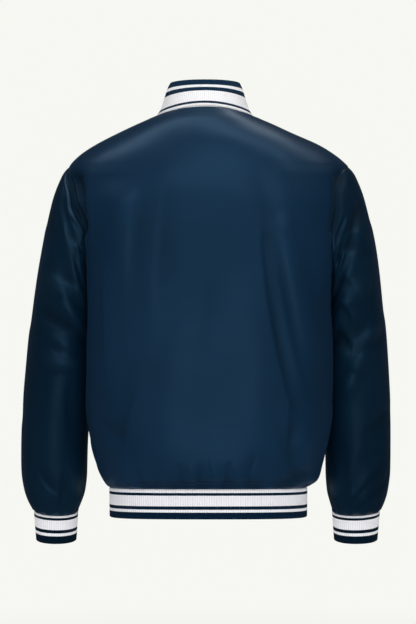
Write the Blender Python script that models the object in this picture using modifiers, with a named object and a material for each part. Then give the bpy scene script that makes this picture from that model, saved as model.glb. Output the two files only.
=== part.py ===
"""A satin varsity jacket with rib-knit collar, cuffs and hem band, filled out as when it is worn.

Metres. +X is the wearer's left, -Y the front, +Z up. The origin is midway between the two ends of the
shoulder seams at the neck, where the wearer's shoulders carry the jacket.
Run with: blender --background --python part.py
"""

import math
from collections import namedtuple
from functools import lru_cache

import bmesh
import bpy
import numpy as np
from mathutils import Vector

# Cloth and seams
SATIN_WALL = 0.0025
RIB_WALL = 0.0032
SEAM_GAP = 0.0003
RIB_PITCH = 0.0040
RIB_HEIGHT = 0.0007
LAP_HALF = 0.015
LAP_GAP = 0.0006
LAP_RAMP = (-0.036, -0.017)

# Armhole: an upright oval laid on the body
ARMHOLE_TOP = -0.0870
ARMHOLE_BOTTOM = -0.3030
ARMHOLE_FRONT = 0.072

# How finely the cloth is divided
SLEEVE_SIDES = 20
BACK_COLUMNS = 28
FRONT_COLUMNS = 13
FINE_BACK_COLUMNS = 48
FINE_FRONT_COLUMNS = 24
FINE_SLEEVE_SIDES = 44
EDGE_COLUMN = 0.006
LAP_COLUMNS = 2
FINE_LAP_COLUMNS = 4
SHOULDER_LEVELS = [-0.0140, -0.0310, -0.0500, -0.0690]
WAIST_LEVELS = [-0.350, -0.405, -0.460, -0.515, -0.553]
HEM_LEVELS = [-0.585, -0.607, -0.6190, -0.6270]
ARM_STATIONS = [0, 0.6, 1.4, 2.4, 3.4, 4.5, 5.5, 6.5, 7.5, 8.5, 9.5, 10.5, 11.5, 12.3]
WRIST_STATIONS = [13, 13.8, 14.6, 15.4, 16]
ANGLE_STEP = 0.01
LEVEL_STEP = 0.002
STATION_STEP = 0.05
SHARE_STEP = 0.02

# Puckers where the satin is drawn into the bands
HEM_PUCKERS = 24
HEM_PUCKER_HEIGHT = 0.0022
HEM_PUCKER_REACH = 0.018
CUFF_PUCKERS = 11
CUFF_PUCKER_HEIGHT = 0.0016
CUFF_PUCKER_REACH = 0.014
PUCKER_ROOT = 0.004
PUCKER_CLEAR_OF_FRONT = 0.3

# Snap fasteners
SNAP_RADIUS = 0.0075
SNAP_HEIGHT = 0.0030
SNAP_EDGE = 0.0012
SNAP_STEPS = 12
SNAP_TOP = -0.080
SNAP_SPACING = 0.0865
FRONT_SNAPS = 7
BAND_SNAP_SHARE = 0.5

# Rings round the body, from the neck seam down to the hem seam. A ring is a rounded rectangle in plan:
# its height at the side, the middle of the back and the middle of the front, where its middle lies, its
# half width, how far it reaches back and forward, how square it is, and how far and how far forward the
# arm presses its sides in. The jacket stands a little askew, so the middles wander.
RING_FIELDS = "side_z back_z front_z middle_x half_width back_y front_y square press press_y"
Ring = namedtuple("Ring", RING_FIELDS, defaults=(0.0, 0.0))
BODY_RINGS = [
    Ring(-0.0020, 0.0128, -0.0550, 0.0056, 0.0836, 0.0740, 0.0720, 2.00),
    Ring(-0.0240, -0.0100, -0.0630, 0.0060, 0.1349, 0.0945, 0.0840, 1.95),
    Ring(-0.0546, -0.0450, -0.0750, 0.0008, 0.1980, 0.1140, 0.0980, 1.90),
    Ring(-0.0751, -0.0690, -0.0870, -0.0016, 0.2270, 0.1220, 0.1050, 1.95),
    Ring(-0.0870, -0.0835, -0.0965, -0.0025, 0.2378, 0.1260, 0.1085, 2.00),
    Ring(-0.1060, -0.1040, -0.1125, -0.0032, 0.2455, 0.1310, 0.1135, 2.10),
    Ring(-0.1430, -0.1420, -0.1460, -0.0030, 0.2465, 0.1380, 0.1210, 2.35, 0.002, 0.000),
    Ring(-0.1720, -0.1715, -0.1740, -0.0028, 0.2390, 0.1410, 0.1255, 2.55, 0.006, 0.000),
    Ring(-0.1950, -0.1950, -0.1960, -0.0027, 0.2290, 0.1430, 0.1280, 2.70, 0.010, 0.000),
    Ring(-0.2300, -0.2300, -0.2300, -0.0026, 0.2190, 0.1450, 0.1305, 2.85, 0.017, 0.000),
    Ring(-0.3030, -0.3030, -0.3030, -0.0026, 0.2155, 0.1470, 0.1320, 3.00, 0.026, -0.003),
    Ring(-0.4000, -0.4000, -0.4000, -0.0026, 0.2145, 0.1465, 0.1315, 3.00, 0.027, -0.014),
    Ring(-0.5000, -0.5000, -0.5000, -0.0024, 0.2120, 0.1455, 0.1310, 2.90, 0.021, -0.028),
    Ring(-0.5530, -0.5530, -0.5530, -0.0020, 0.2045, 0.1450, 0.1315, 2.80, 0.011, -0.036),
    Ring(-0.5790, -0.5780, -0.5790, -0.0018, 0.1970, 0.1440, 0.1310, 2.70, 0.004, -0.040),
    Ring(-0.6040, -0.6020, -0.6040, -0.0016, 0.1885, 0.1405, 0.1290, 2.60),
    Ring(-0.6180, -0.6150, -0.6180, -0.0013, 0.1810, 0.1355, 0.1250, 2.60),
    Ring(-0.6265, -0.6235, -0.6265, -0.0010, 0.1740, 0.1300, 0.1205, 2.60),
    Ring(-0.6320, -0.6290, -0.6320, -0.0006, 0.1680, 0.1255, 0.1175, 2.60),
]
PRESS_REACH = 0.088

COLLAR_RINGS = [
    Ring(0.0560, 0.0582, -0.0100, 0.0050, 0.0585, 0.0555, 0.0650, 2.3),
    Ring(0.0480, 0.0515, -0.0165, 0.0052, 0.0625, 0.0585, 0.0665, 2.3),
    Ring(0.0250, 0.0350, -0.0340, 0.0054, 0.0700, 0.0655, 0.0690, 2.1),
    Ring(0.0100, 0.0225, -0.0450, 0.0055, 0.0752, 0.0700, 0.0705, 2.0),
    Ring(-0.0017, 0.0131, -0.0547, 0.0056, 0.0825, 0.0735, 0.0715, 2.0),
]
COLLAR_END = 0.0015
COLLAR_CORNER = 0.010

BAND_RINGS = [
    Ring(-0.6323, -0.6293, -0.6323, -0.0006, 0.1680, 0.1255, 0.1175, 2.6),
    Ring(-0.6820, -0.6790, -0.6820, -0.0006, 0.1676, 0.1250, 0.1170, 2.6),
]

# Rings down a sleeve. Each lies in a plane through its outer point, its inner point and the front-back
# direction. middle_y is where its middle lies, reach how far it bulges front and back, and tilt how
# far its back hangs below its front, for each metre of depth.
SleeveRing = namedtuple("SleeveRing", "station outer_x outer_z inner_x inner_z middle_y reach square tilt")
SLEEVE_RINGS = [
    SleeveRing(0, 0.2380, -0.0870, 0.1905, -0.3030, 0.0030, 0.0750, 2.0, 0.00),
    SleeveRing(1, 0.2465, -0.0975, 0.1938, -0.3130, 0.0020, 0.0775, 2.0, 0.00),
    SleeveRing(2, 0.2552, -0.1161, 0.1942, -0.3230, 0.0010, 0.0790, 2.0, 0.00),
    SleeveRing(3, 0.2646, -0.1434, 0.1945, -0.3330, -0.0005, 0.0800, 2.0, 0.00),
    SleeveRing(4, 0.2776, -0.1946, 0.1946, -0.3500, -0.0030, 0.0800, 2.1, 0.00),
    SleeveRing(5, 0.2870, -0.2458, 0.1946, -0.3700, -0.0060, 0.0790, 2.1, 0.00),
    SleeveRing(6, 0.2945, -0.2970, 0.1948, -0.3950, -0.0095, 0.0770, 2.1, 0.01),
    SleeveRing(7, 0.3007, -0.3482, 0.1952, -0.4250, -0.0140, 0.0750, 2.1, 0.02),
    SleeveRing(8, 0.3056, -0.3994, 0.1960, -0.4580, -0.0190, 0.0730, 2.1, 0.04),
    SleeveRing(9, 0.3098, -0.4507, 0.1975, -0.4930, -0.0250, 0.0705, 2.1, 0.06),
    SleeveRing(10, 0.3132, -0.5019, 0.1998, -0.5300, -0.0310, 0.0680, 2.1, 0.08),
    SleeveRing(11, 0.3149, -0.5531, 0.2012, -0.5680, -0.0370, 0.0660, 2.1, 0.11),
    SleeveRing(12, 0.3140, -0.6043, 0.2014, -0.6080, -0.0420, 0.0630, 2.1, 0.14),
    SleeveRing(13, 0.3095, -0.6390, 0.2045, -0.6395, -0.0450, 0.0585, 2.1, 0.16),
    SleeveRing(14, 0.3030, -0.6590, 0.2110, -0.6600, -0.0465, 0.0520, 2.1, 0.17),
    SleeveRing(15, 0.2970, -0.6703, 0.2160, -0.6720, -0.0475, 0.0455, 2.1, 0.17),
    SleeveRing(16, 0.2935, -0.6757, 0.2175, -0.6782, -0.0478, 0.0395, 2.1, 0.17),
]
CUFF_RINGS = [
    SleeveRing(0, 0.2935, -0.6760, 0.2175, -0.6785, -0.0479, 0.0395, 2.1, 0.17),
    SleeveRing(1, 0.2898, -0.7270, 0.2208, -0.7275, -0.0530, 0.0365, 2.1, 0.14),
]
LOOP_FADE = 5.0
SWING_STATIONS = (4, 12)
WRIST_STATION = 12
# Each sleeve hangs a little differently: how far the whole of it stands out, how far its wrist swings out
# beyond that, how wide its cuff is, how far its armhole reaches back, and how square that is at the top.
Hang = namedtuple("Hang", "side spread swing wrist_width armhole_back armhole_square")
LEFT_HANG = Hang(1, 0.0000, 0.0066, 0.988, 0.070, 1.75)
RIGHT_HANG = Hang(-1, 0.0036, -0.0038, 1.070, 0.084, 2.80)

# Soft ridges (+) and troughs (-) in the body, from one end to the other, seen square from the back or the
# front. breadth is the half breadth.
BodyFold = namedtuple("BodyFold", "x1 z1 x2 z2 breadth height")
BACK_FOLDS = [
    BodyFold(0.224, -0.112, 0.216, -0.196, 0.012, -0.0100),
    BodyFold(-0.226, -0.108, -0.218, -0.196, 0.012, -0.0080),
    BodyFold(0.100, -0.110, 0.108, -0.250, 0.028, -0.0040),
    BodyFold(0.150, -0.150, 0.155, -0.400, 0.024, 0.0030),
    BodyFold(-0.090, -0.110, -0.160, -0.420, 0.018, -0.0040),
    BodyFold(-0.125, -0.200, -0.180, -0.420, 0.018, 0.0030),
    BodyFold(0.176, -0.500, 0.150, -0.530, 0.016, -0.0025),
    BodyFold(-0.165, -0.560, -0.172, -0.610, 0.022, 0.0050),
]
FRONT_FOLDS = [
    BodyFold(0.214, -0.120, 0.208, -0.200, 0.012, -0.0070),
    BodyFold(-0.214, -0.120, -0.208, -0.200, 0.012, -0.0070),
    BodyFold(0.110, -0.120, 0.100, -0.280, 0.026, -0.0035),
    BodyFold(-0.120, -0.130, -0.105, -0.300, 0.024, -0.0035),
    BodyFold(0.150, -0.300, 0.125, -0.460, 0.022, 0.0030),
    BodyFold(-0.140, -0.260, -0.150, -0.420, 0.022, 0.0030),
]
FOLD_CLEAR_OF_SIDE = 0.030
FOLD_CLEAR_OF_HEM = 0.015
# The same in a sleeve, each between two places given by the angle round it, in degrees, and the station
# down it. Angle 0 is its outer line, 90 its back, 180 its inner line and 270 its front.
SleeveFold = namedtuple("SleeveFold", "side angle1 station1 angle2 station2 breadth height")
SLEEVE_FOLDS = [
    SleeveFold(1, 60, 2.2, 120, 2.9, 0.014, -0.0045),
    SleeveFold(1, 40, 3.6, 110, 4.2, 0.016, -0.0040),
    SleeveFold(1, 70, 5.0, 112, 5.4, 0.017, 0.0040),
    SleeveFold(1, 60, 6.4, 130, 6.0, 0.017, -0.0045),
    SleeveFold(1, 80, 7.6, 110, 7.3, 0.017, 0.0030),
    SleeveFold(1, 210, 6.0, 290, 6.6, 0.018, -0.0045),
    SleeveFold(1, 90, 11.2, 60, 12.6, 0.016, -0.0035),
    SleeveFold(-1, 100, 2.0, 60, 2.8, 0.014, -0.0040),
    SleeveFold(-1, 150, 3.4, 40, 3.0, 0.016, -0.0040),
    SleeveFold(-1, 112, 4.7, 70, 5.2, 0.017, 0.0040),
    SleeveFold(-1, 130, 6.0, 80, 6.8, 0.017, -0.0050),
    SleeveFold(-1, 60, 7.0, 105, 8.4, 0.017, 0.0035),
    SleeveFold(-1, 210, 5.6, 290, 6.4, 0.018, -0.0045),
    SleeveFold(-1, 60, 10.6, 100, 12.4, 0.016, -0.0035),
]
SLEEVE_GIRTH = 0.41
STATION_LENGTH = 0.040
FOLD_STATION = 1.5

# Colours, roughness and metallic value
Finish = namedtuple("Finish", "colour roughness metallic")
SATIN = Finish((0.012, 0.036, 0.066), 0.34, 0.0)
RIB_KNIT = Finish((0.83, 0.82, 0.86), 0.85, 0.0)
ENAMEL = Finish((0.80, 0.80, 0.82), 0.25, 0.0)


def smooth(share):
    """0 below 0, 1 above 1, and an even S between."""
    share = min(max(share, 0.0), 1.0)
    return share * share * (3 - 2 * share)


def gentle_slopes(at, value):
    """Slopes for a cubic through the points that never overshoots them."""
    rise = np.diff(value) / np.diff(at)
    slope = np.zeros(len(value))
    slope[0], slope[-1] = rise[0], rise[-1]
    for i in range(1, len(value) - 1):
        if rise[i - 1] * rise[i] > 0:
            slope[i] = 2 * rise[i - 1] * rise[i] / (rise[i - 1] + rise[i])
    return slope


class Profile:
    """Smooth curves through a table's rows, read at any value of its first column."""

    def __init__(self, rows):
        self.row = type(rows[0])
        self.columns = np.array(sorted(rows)).T
        self.at = self.columns[0]
        self.slopes = np.array([gentle_slopes(self.at, column) for column in self.columns])

    def read(self, at):
        at = min(max(at, self.at[0]), self.at[-1])
        i = min(int(np.searchsorted(self.at, at, side="right")) - 1, len(self.at) - 2)
        step = self.at[i + 1] - self.at[i]
        t = (at - self.at[i]) / step
        values = (1 + 2 * t) * (1 - t) ** 2 * self.columns[:, i]
        values = values + t * (1 - t) ** 2 * step * self.slopes[:, i]
        values = values + t * t * (3 - 2 * t) * self.columns[:, i + 1]
        values = values + t * t * (t - 1) * step * self.slopes[:, i + 1]
        return self.row(*values.tolist())


BODY = Profile(BODY_RINGS)
COLLAR = Profile(COLLAR_RINGS)
BAND = Profile(BAND_RINGS)
SLEEVE = Profile(SLEEVE_RINGS)
CUFF = Profile(CUFF_RINGS)
NECK_LEVEL = BODY_RINGS[0].side_z
HEM_LEVEL = BODY_RINGS[-1].side_z
LAST_STATION = SLEEVE_RINGS[-1].station


def round_rectangle(angle, square):
    """(across, along) of a superellipse with unit half sides."""
    across, along = math.cos(angle), math.sin(angle)
    radius = (abs(across) ** square + abs(along) ** square) ** (-1 / square)
    return across * radius, along * radius


def other_side(share, square):
    """The other coordinate of a point on a unit superellipse."""
    return (1 - abs(share) ** square) ** (1 / square)


def ring_point(ring, angle):
    """A point on a ring round the body. Angle 0 is the wearer's left, and 90 degrees the back."""
    across, along = round_rectangle(angle, ring.square)
    rise = (ring.back_z if along > 0 else ring.front_z) - ring.side_z
    y = along * (ring.back_y if along > 0 else ring.front_y)
    pressed = ring.press * max(0.0, 1 - ((y - ring.press_y) / PRESS_REACH) ** 2) ** 2
    x = ring.middle_x + ring.half_width * across - math.copysign(pressed, across)
    return Vector((x, y, ring.side_z + rise * along * along))


def angle_at_depth(ring, y):
    """The angle at which the wearer's left of a ring is y behind the middle."""
    along = y / (ring.back_y if y > 0 else ring.front_y)
    return math.atan2(along, other_side(along, ring.square))


def angle_at_front(ring, x):
    """The angle at which the front of a ring is x to the wearer's left of its middle."""
    across = x / ring.half_width
    return -math.atan2(other_side(across, ring.square), across)


def outward(surface, u, v, up, side=1):
    """The unit normal of surface(u, v). up is a small step of u that leads up it, and v runs round it from
    the wearer's left to the back, or to the back from the right where side is -1."""
    around = surface(u, v + ANGLE_STEP) - surface(u, v - ANGLE_STEP)
    upward = surface(u + up, v) - surface(u - up, v)
    return around.cross(upward).normalized() * side


def bump(distance, breadth):
    """A smooth hill of unit height, gone at twice its half breadth."""
    return max(0.0, 1 - (distance / (2 * breadth)) ** 2) ** 3


def fold_at(fold, start, end, here):
    """A fold's height at a place, tapering off round both its ends."""
    along = end - start
    share = min(max((here - start).dot(along) / along.length_squared, 0.0), 1.0)
    return fold.height * bump((here - start - along * share).length, fold.breadth)


def body_form(level, angle):
    """The satin body without its folds."""
    return ring_point(BODY.read(level), angle)


def body_fold_height(level, point):
    folds = BACK_FOLDS if point.y > 0 else FRONT_FOLDS
    here = Vector((point.x, point.z))
    height = sum(fold_at(fold, Vector((fold.x1, fold.z1)), Vector((fold.x2, fold.z2)), here) for fold in folds)
    return height * smooth(abs(point.y) / FOLD_CLEAR_OF_SIDE) * smooth((level - HEM_LEVEL) / FOLD_CLEAR_OF_HEM)


def hem_pucker(level, angle):
    height = level - HEM_LEVEL
    fade = math.exp(-height / HEM_PUCKER_REACH) * min(1.0, height / PUCKER_ROOT)
    uneven = 0.65 + 0.35 * math.sin(3 * angle + 0.8) * math.sin(7 * angle)
    wave = math.sin(HEM_PUCKERS * angle + 0.9 * math.sin(4 * angle))
    from_front = abs(math.remainder(angle + math.pi / 2, 2 * math.pi))
    return HEM_PUCKER_HEIGHT * fade * uneven * wave * smooth(from_front / PUCKER_CLEAR_OF_FRONT)


@lru_cache(maxsize=None)
def body_surface(level, angle):
    """The outside of the satin body."""
    level = min(max(level, HEM_LEVEL), NECK_LEVEL)
    point = body_form(level, angle)
    height = body_fold_height(level, point) + hem_pucker(level, angle)
    return point + outward(body_form, level, angle, LEVEL_STEP) * height


def body_normal(level, angle):
    return outward(body_surface, level, angle, LEVEL_STEP)


def armhole(hang, turn):
    """The level and angle of a place on an armhole. Turn 0 is its top and 90 degrees its back."""
    middle = (ARMHOLE_TOP + ARMHOLE_BOTTOM) / 2
    level = middle + (ARMHOLE_TOP - middle) * math.cos(turn)
    depth = math.sin(turn) * (hang.armhole_back if math.sin(turn) > 0 else ARMHOLE_FRONT)
    if math.sin(turn) > 0 and math.cos(turn) > 0:
        depth = hang.armhole_back * other_side(math.cos(turn), hang.armhole_square)
    angle = angle_at_depth(BODY.read(level), depth)
    return level, angle if hang.side > 0 else math.pi - angle


def sleeve_ring_point(ring, turn):
    outer = Vector((ring.outer_x, ring.middle_y, ring.outer_z))
    inner = Vector((ring.inner_x, ring.middle_y, ring.inner_z))
    across, along = round_rectangle(turn, ring.square)
    depth = Vector((0, 1, -ring.tilt)) * ring.reach * along
    return (outer + inner) / 2 + (outer - inner) / 2 * across + depth


def hung(point, hang, station):
    """Swings a point of the plain sleeve as its own sleeve hangs, and puts it on its side."""
    first, last = SWING_STATIONS
    swing = hang.spread + hang.swing * smooth((station - first) / (last - first))
    wrist = smooth((station - WRIST_STATION) / (LAST_STATION - WRIST_STATION))
    middle = (SLEEVE_RINGS[-1].outer_x + SLEEVE_RINGS[-1].inner_x) / 2
    across = (point.x - middle) * (1 + (hang.wrist_width - 1) * wrist)
    return Vector((hang.side * (middle + across + swing), point.y, point.z))


def sleeve_fold_height(hang, station, turn):
    total = 0.0
    for fold in SLEEVE_FOLDS:
        if fold.side != hang.side:
            continue
        middle = (fold.angle1 + fold.angle2) / 2
        degrees = (math.degrees(turn) - middle + 180) % 360 + middle - 180
        scale = Vector((SLEEVE_GIRTH / 360, STATION_LENGTH))
        start = Vector((fold.angle1, fold.station1)) * scale
        end = Vector((fold.angle2, fold.station2)) * scale
        total += fold_at(fold, start, end, Vector((degrees, station)) * scale)
    return total * smooth(station / FOLD_STATION)


def cuff_pucker(station, turn):
    height = (LAST_STATION - station) * STATION_LENGTH / 4
    fade = math.exp(-height / CUFF_PUCKER_REACH) * min(1.0, height / PUCKER_ROOT)
    return CUFF_PUCKER_HEIGHT * fade * math.sin(CUFF_PUCKERS * turn + 0.7 * math.sin(3 * turn))


@lru_cache(maxsize=None)
def sleeve_surface(hang):
    """The outside of a sleeve, as a function of the station down it and the turn round it."""

    @lru_cache(maxsize=None)
    def form(station, turn):
        station = min(max(station, 0.0), LAST_STATION)
        point = hung(sleeve_ring_point(SLEEVE.read(station), turn), hang, station)
        if station < LOOP_FADE:
            seam = body_surface(*armhole(hang, turn))
            plain = hung(sleeve_ring_point(SLEEVE_RINGS[0], turn), hang, 0)
            point = point + (seam - plain) * (1 - station / LOOP_FADE) ** 2
        return point

    @lru_cache(maxsize=None)
    def surface(station, turn):
        station = min(max(station, 0.0), LAST_STATION)
        height = sleeve_fold_height(hang, station, turn) + cuff_pucker(station, turn)
        return form(station, turn) + outward(form, station, turn, -STATION_STEP, hang.side) * height

    return surface


def ring_surface(profile, seam_ring, edge_ring):
    """A band's outside as a function of the share of its height from its seam and the angle round it."""

    def surface(share, angle):
        level = seam_ring.side_z + (edge_ring.side_z - seam_ring.side_z) * share
        return ring_point(profile.read(level), angle)

    return surface


def cuff_surface(hang):
    def surface(share, turn):
        return hung(sleeve_ring_point(CUFF.read(share), turn), hang, LAST_STATION)

    return surface


collar_surface = ring_surface(COLLAR, COLLAR_RINGS[-1], COLLAR_RINGS[0])
band_surface = ring_surface(BAND, BAND_RINGS[0], BAND_RINGS[-1])


@lru_cache(maxsize=None)
def armhole_seam(hang, turn):
    """The normals in which the body's wall and the sleeve's wall end at the armhole seam, so that they
    meet in a mitre, and the way across the seam from the body to the sleeve."""
    sleeve = sleeve_surface(hang)
    along = (sleeve(0, turn + ANGLE_STEP) - sleeve(0, turn - ANGLE_STEP)).normalized() * hang.side
    body_side = body_normal(*armhole(hang, turn))
    sleeve_side = (sleeve(0.25, turn) - sleeve(0, turn)).cross(along).normalized()
    meet = smooth((body_side.dot(sleeve_side) + 0.2) / 0.5)
    into_body = body_side.cross(along)
    into_sleeve = along.cross(sleeve_side)
    across = (into_sleeve - into_body + body_side - sleeve_side).normalized()
    body_end = (body_side + sleeve_side * meet).normalized()
    sleeve_end = (sleeve_side + body_side * meet).normalized()
    return body_end, sleeve_end, across


def stitch(points, faces, a, b, closed):
    """Triangles between two rows of points, which may differ in count, across the shorter diagonals."""
    last_a = len(a) if closed else len(a) - 1
    last_b = len(b) if closed else len(b) - 1
    i = j = 0
    while i < last_a or j < last_b:
        here_a, here_b = a[i % len(a)], b[j % len(b)]
        next_a, next_b = a[(i + 1) % len(a)], b[(j + 1) % len(b)]
        reach_a = (points[next_a] - points[here_b]).length
        reach_b = (points[next_b] - points[here_a]).length
        step_a = j == last_b or (i < last_a and reach_a < reach_b)
        faces.append((here_a, next_a if step_a else next_b, here_b))
        if last_a == last_b:
            faces.append((next_a, next_b, here_b) if step_a else (here_a, next_a, next_b))
            i, j = i + 1, j + 1
        elif step_a:
            i += 1
        else:
            j += 1


def add_object(name, mesh, finish, collection):
    """Links a mesh with a material of its own."""
    material = bpy.data.materials.new(name)
    material.use_nodes = True
    shader = material.node_tree.nodes["Principled BSDF"]
    shader.inputs["Base Color"].default_value = (*finish.colour, 1)
    shader.inputs["Roughness"].default_value = finish.roughness
    shader.inputs["Metallic"].default_value = finish.metallic
    mesh.materials.append(material)
    obj = bpy.data.objects.new(name, mesh)
    collection.objects.link(obj)
    return obj


def add_wall(name, outer, inner, closed, finish, collection):
    """Lofts a closed cloth wall between its outer and its inner rows."""
    points, faces, sheets = [], [], []
    for rows in (outer, inner):
        sheet = []
        for row in rows:
            sheet.append(range(len(points), len(points) + len(row)))
            points.extend(row)
        for above, below in zip(sheet, sheet[1:]):
            stitch(points, faces, above, below, closed)
        sheets.append(sheet)
    for end in (0, -1):
        stitch(points, faces, sheets[0][end], sheets[1][end], closed)
        if not closed:
            outside, inside = [[row[end] for row in sheet] for sheet in sheets]
            stitch(points, faces, outside, inside, False)
    mesh = bpy.data.meshes.new(name)
    mesh.from_pydata(points, [], faces)
    work = bmesh.new()
    work.from_mesh(mesh)
    bmesh.ops.recalc_face_normals(work, faces=work.faces)
    work.to_mesh(mesh)
    work.free()
    mesh.shade_smooth()
    mesh.set_sharp_from_angle(angle=math.radians(50))
    return add_object(name, mesh, finish, collection)


def even_angles(curve, start, end, columns, first=0.0, last=0.0):
    """Angles that divide a curve into equal lengths. first and last are the widths of a narrower column at
    its start and its end, or 0."""
    angles = np.linspace(start, end, 8 * columns)
    points = np.array([curve(angle) for angle in angles])
    run = np.concatenate([[0], np.cumsum(np.linalg.norm(np.diff(points, axis=0), axis=1))])
    marks = np.linspace(first, run[-1] - last, columns + 1 - (first > 0) - (last > 0)).tolist()
    marks = [0] * (first > 0) + marks + [run[-1]] * (last > 0)
    return np.interp(marks, run, angles).tolist()


def curve_length(curve, start, end, samples=300):
    points = [curve(angle) for angle in np.linspace(start, end, samples)]
    return sum((b - a).length for a, b in zip(points, points[1:]))


def draw_back(row):
    """Draws a row's two ends back by half a seam gap."""
    first = row[0] + (row[1] - row[0]).normalized() * (SEAM_GAP / 2)
    last = row[-1] + (row[-2] - row[-1]).normalized() * (SEAM_GAP / 2)
    row[0], row[-1] = first, last


def body_rows():
    """(level, armhole turn or None, fine) of each row of a body panel, from the neck seam down."""
    turns = [2 * math.pi * k / SLEEVE_SIDES for k in range(SLEEVE_SIDES // 2 + 1)]
    rows = [(NECK_LEVEL - SEAM_GAP / 2, None, True)]
    rows += [(level, None, False) for level in SHOULDER_LEVELS]
    rows += [(armhole(LEFT_HANG, turn)[0], turn, False) for turn in turns]
    rows += [(level, None, False) for level in WAIST_LEVELS]
    rows += [(level, None, True) for level in HEM_LEVELS]
    return rows + [(HEM_LEVEL + SEAM_GAP / 2, None, True)]


def lap_drop(ring, point, depth):
    """How far the wearer's right side steps back under the left at the front edge."""
    first, last = LAP_RAMP
    return depth * smooth((point.x - ring.middle_x - first) / (last - first))


def panel_row(panel, level, turn, fine):
    """One row of a panel's outside and of its inside."""
    knots, seams = panel.row_ends(level, turn)
    lap_columns = FINE_LAP_COLUMNS if fine else LAP_COLUMNS
    columns = (panel.fine_columns if fine else panel.columns) - lap_columns * (len(knots) - 2)

    def curve(angle):
        return body_form(level, angle)

    last = EDGE_COLUMN if panel.under is None else 0.0
    angles = even_angles(curve, knots[0], knots[1], columns, EDGE_COLUMN, last)
    for start, end in zip(knots[1:], knots[2:]):
        angles += even_angles(curve, start, end, lap_columns)[1:]
    outside = [body_surface(level, angle) for angle in angles]
    normals = [body_normal(level, angle) for angle in angles]
    if level < HEM_LEVEL + SEAM_GAP:
        normals = [outward(band_surface, 0, angle, -SHARE_STEP) for angle in angles]
    if panel.under:
        drops = [lap_drop(BODY.read(level), point, panel.under) for point in outside]
        outside = [point - normal * drop for point, normal, drop in zip(outside, normals, drops)]
    for end, seam in zip((0, -1), seams):
        if seam:
            normals[end] = seam[0]
            outside[end] = outside[end] - seam[2] * (SEAM_GAP / 2)
    inside = [point - normal * SATIN_WALL for point, normal in zip(outside, normals)]
    at_tip = turn is not None and abs(math.sin(turn)) < ANGLE_STEP
    if turn is None or at_tip:
        draw_back(outside)
        draw_back(inside)
    return outside, inside


# A panel of the body. row_ends(level, turn) gives the angles of a row's two ends, with those of any folds
# between them, and the armhole seams at the ends or None. under is how far its lap lies under another,
# or None where it has no lap.
Panel = namedtuple("Panel", "name row_ends columns fine_columns under")


def add_body_panel(panel, collection):
    outer, inner = zip(*[panel_row(panel, level, turn, fine) for level, turn, fine in body_rows()])
    return add_wall(panel.name, outer, inner, False, SATIN, collection)


def side_end(hang, turn, back):
    """The angle at which a panel's row ends at one side of the body, and its armhole seam."""
    if turn is None:
        return (0.0 if hang.side > 0 else math.pi), None
    way = turn if back else -turn
    return armhole(hang, way)[1], armhole_seam(hang, way)


def back_ends(level, turn):
    left, left_seam = side_end(LEFT_HANG, turn, True)
    right, right_seam = side_end(RIGHT_HANG, turn, True)
    return (left, right), (left_seam, right_seam)


def left_front_ends(level, turn):
    side, seam = side_end(LEFT_HANG, turn, False)
    ring = BODY.read(level)
    return (side, angle_at_front(ring, LAP_HALF), angle_at_front(ring, -LAP_HALF)), (seam, None)


def right_front_ends(level, turn):
    side, seam = side_end(RIGHT_HANG, turn, False)
    ring = BODY.read(level)
    laps = [2 * math.pi + angle_at_front(ring, x) for x in (*LAP_RAMP, LAP_HALF)]
    return (side, *laps), (seam, None)


def add_sleeve(name, hang, collection):
    surface = sleeve_surface(hang)
    outer, inner = [], []
    for station in ARM_STATIONS + WRIST_STATIONS:
        sides = FINE_SLEEVE_SIDES if station in WRIST_STATIONS else SLEEVE_SIDES
        outside, inside = [], []
        for turn in [2 * math.pi * k / sides for k in range(sides)]:
            point = surface(station, turn)
            normal = outward(surface, station, turn, -STATION_STEP, hang.side)
            if station == 0:
                normal = armhole_seam(hang, turn)[1]
                point = point + armhole_seam(hang, turn)[2] * (SEAM_GAP / 2)
            elif station == LAST_STATION:
                normal = outward(cuff_surface(hang), 0, turn, -SHARE_STEP, hang.side)
                point = point + (surface(station - STATION_STEP, turn) - point).normalized() * (SEAM_GAP / 2)
            outside.append(point)
            inside.append(point - normal * SATIN_WALL)
        outer.append(outside)
        inner.append(inside)
    return add_wall(name, outer, inner, True, SATIN, collection)


def add_band(name, surface, up, start, end, shares, collection, side=1, corner=0.0, under=0.0):
    """A folded rib band, with ribs standing out of its outer rows over a plain inside. up is a small step of
    share that leads up it. Its two free corners are rounded to the radius corner, and the last stretch
    lies under its first by under. It closes on itself where start and end are a whole turn apart."""
    closed = abs(end - start - 2 * math.pi) < ANGLE_STEP
    length = curve_length(lambda angle: surface(0, angle), start, end)
    height = (surface(1, start) - surface(0, start)).length
    columns = 2 * round(length / RIB_PITCH)
    angles = even_angles(lambda angle: surface(0, angle), start, end, columns)
    rounded = math.ceil(corner / length * columns)
    every = 8

    def row(share, chosen, ribbed):
        made = []
        for i in chosen:
            away = min(i, columns - i) * length / columns
            drop = corner - math.sqrt(corner**2 - max(0.0, corner - away) ** 2)
            here = share * (1 - drop / height)
            point = surface(here, angles[i])
            normal = outward(surface, here, angles[i], up, side)
            out = RIB_HEIGHT * (i % 2) if ribbed else -RIB_WALL
            if under and angles[i] > math.pi:
                out -= lap_drop(BAND_RINGS[0], point, under)
            made.append(point + normal * out)
        return made

    outer_columns = range(columns if closed else columns + 1)
    inner_columns = [i for i in outer_columns if i % every == 0 or min(i, columns - i) <= rounded]
    if closed:
        inner_columns = [i for i in outer_columns if i % every == 0]
    outer = [row(share, outer_columns, True) for share in shares]
    inner = [row(share, inner_columns, False) for share in shares]
    return add_wall(name, outer, inner, closed, RIB_KNIT, collection)


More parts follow.
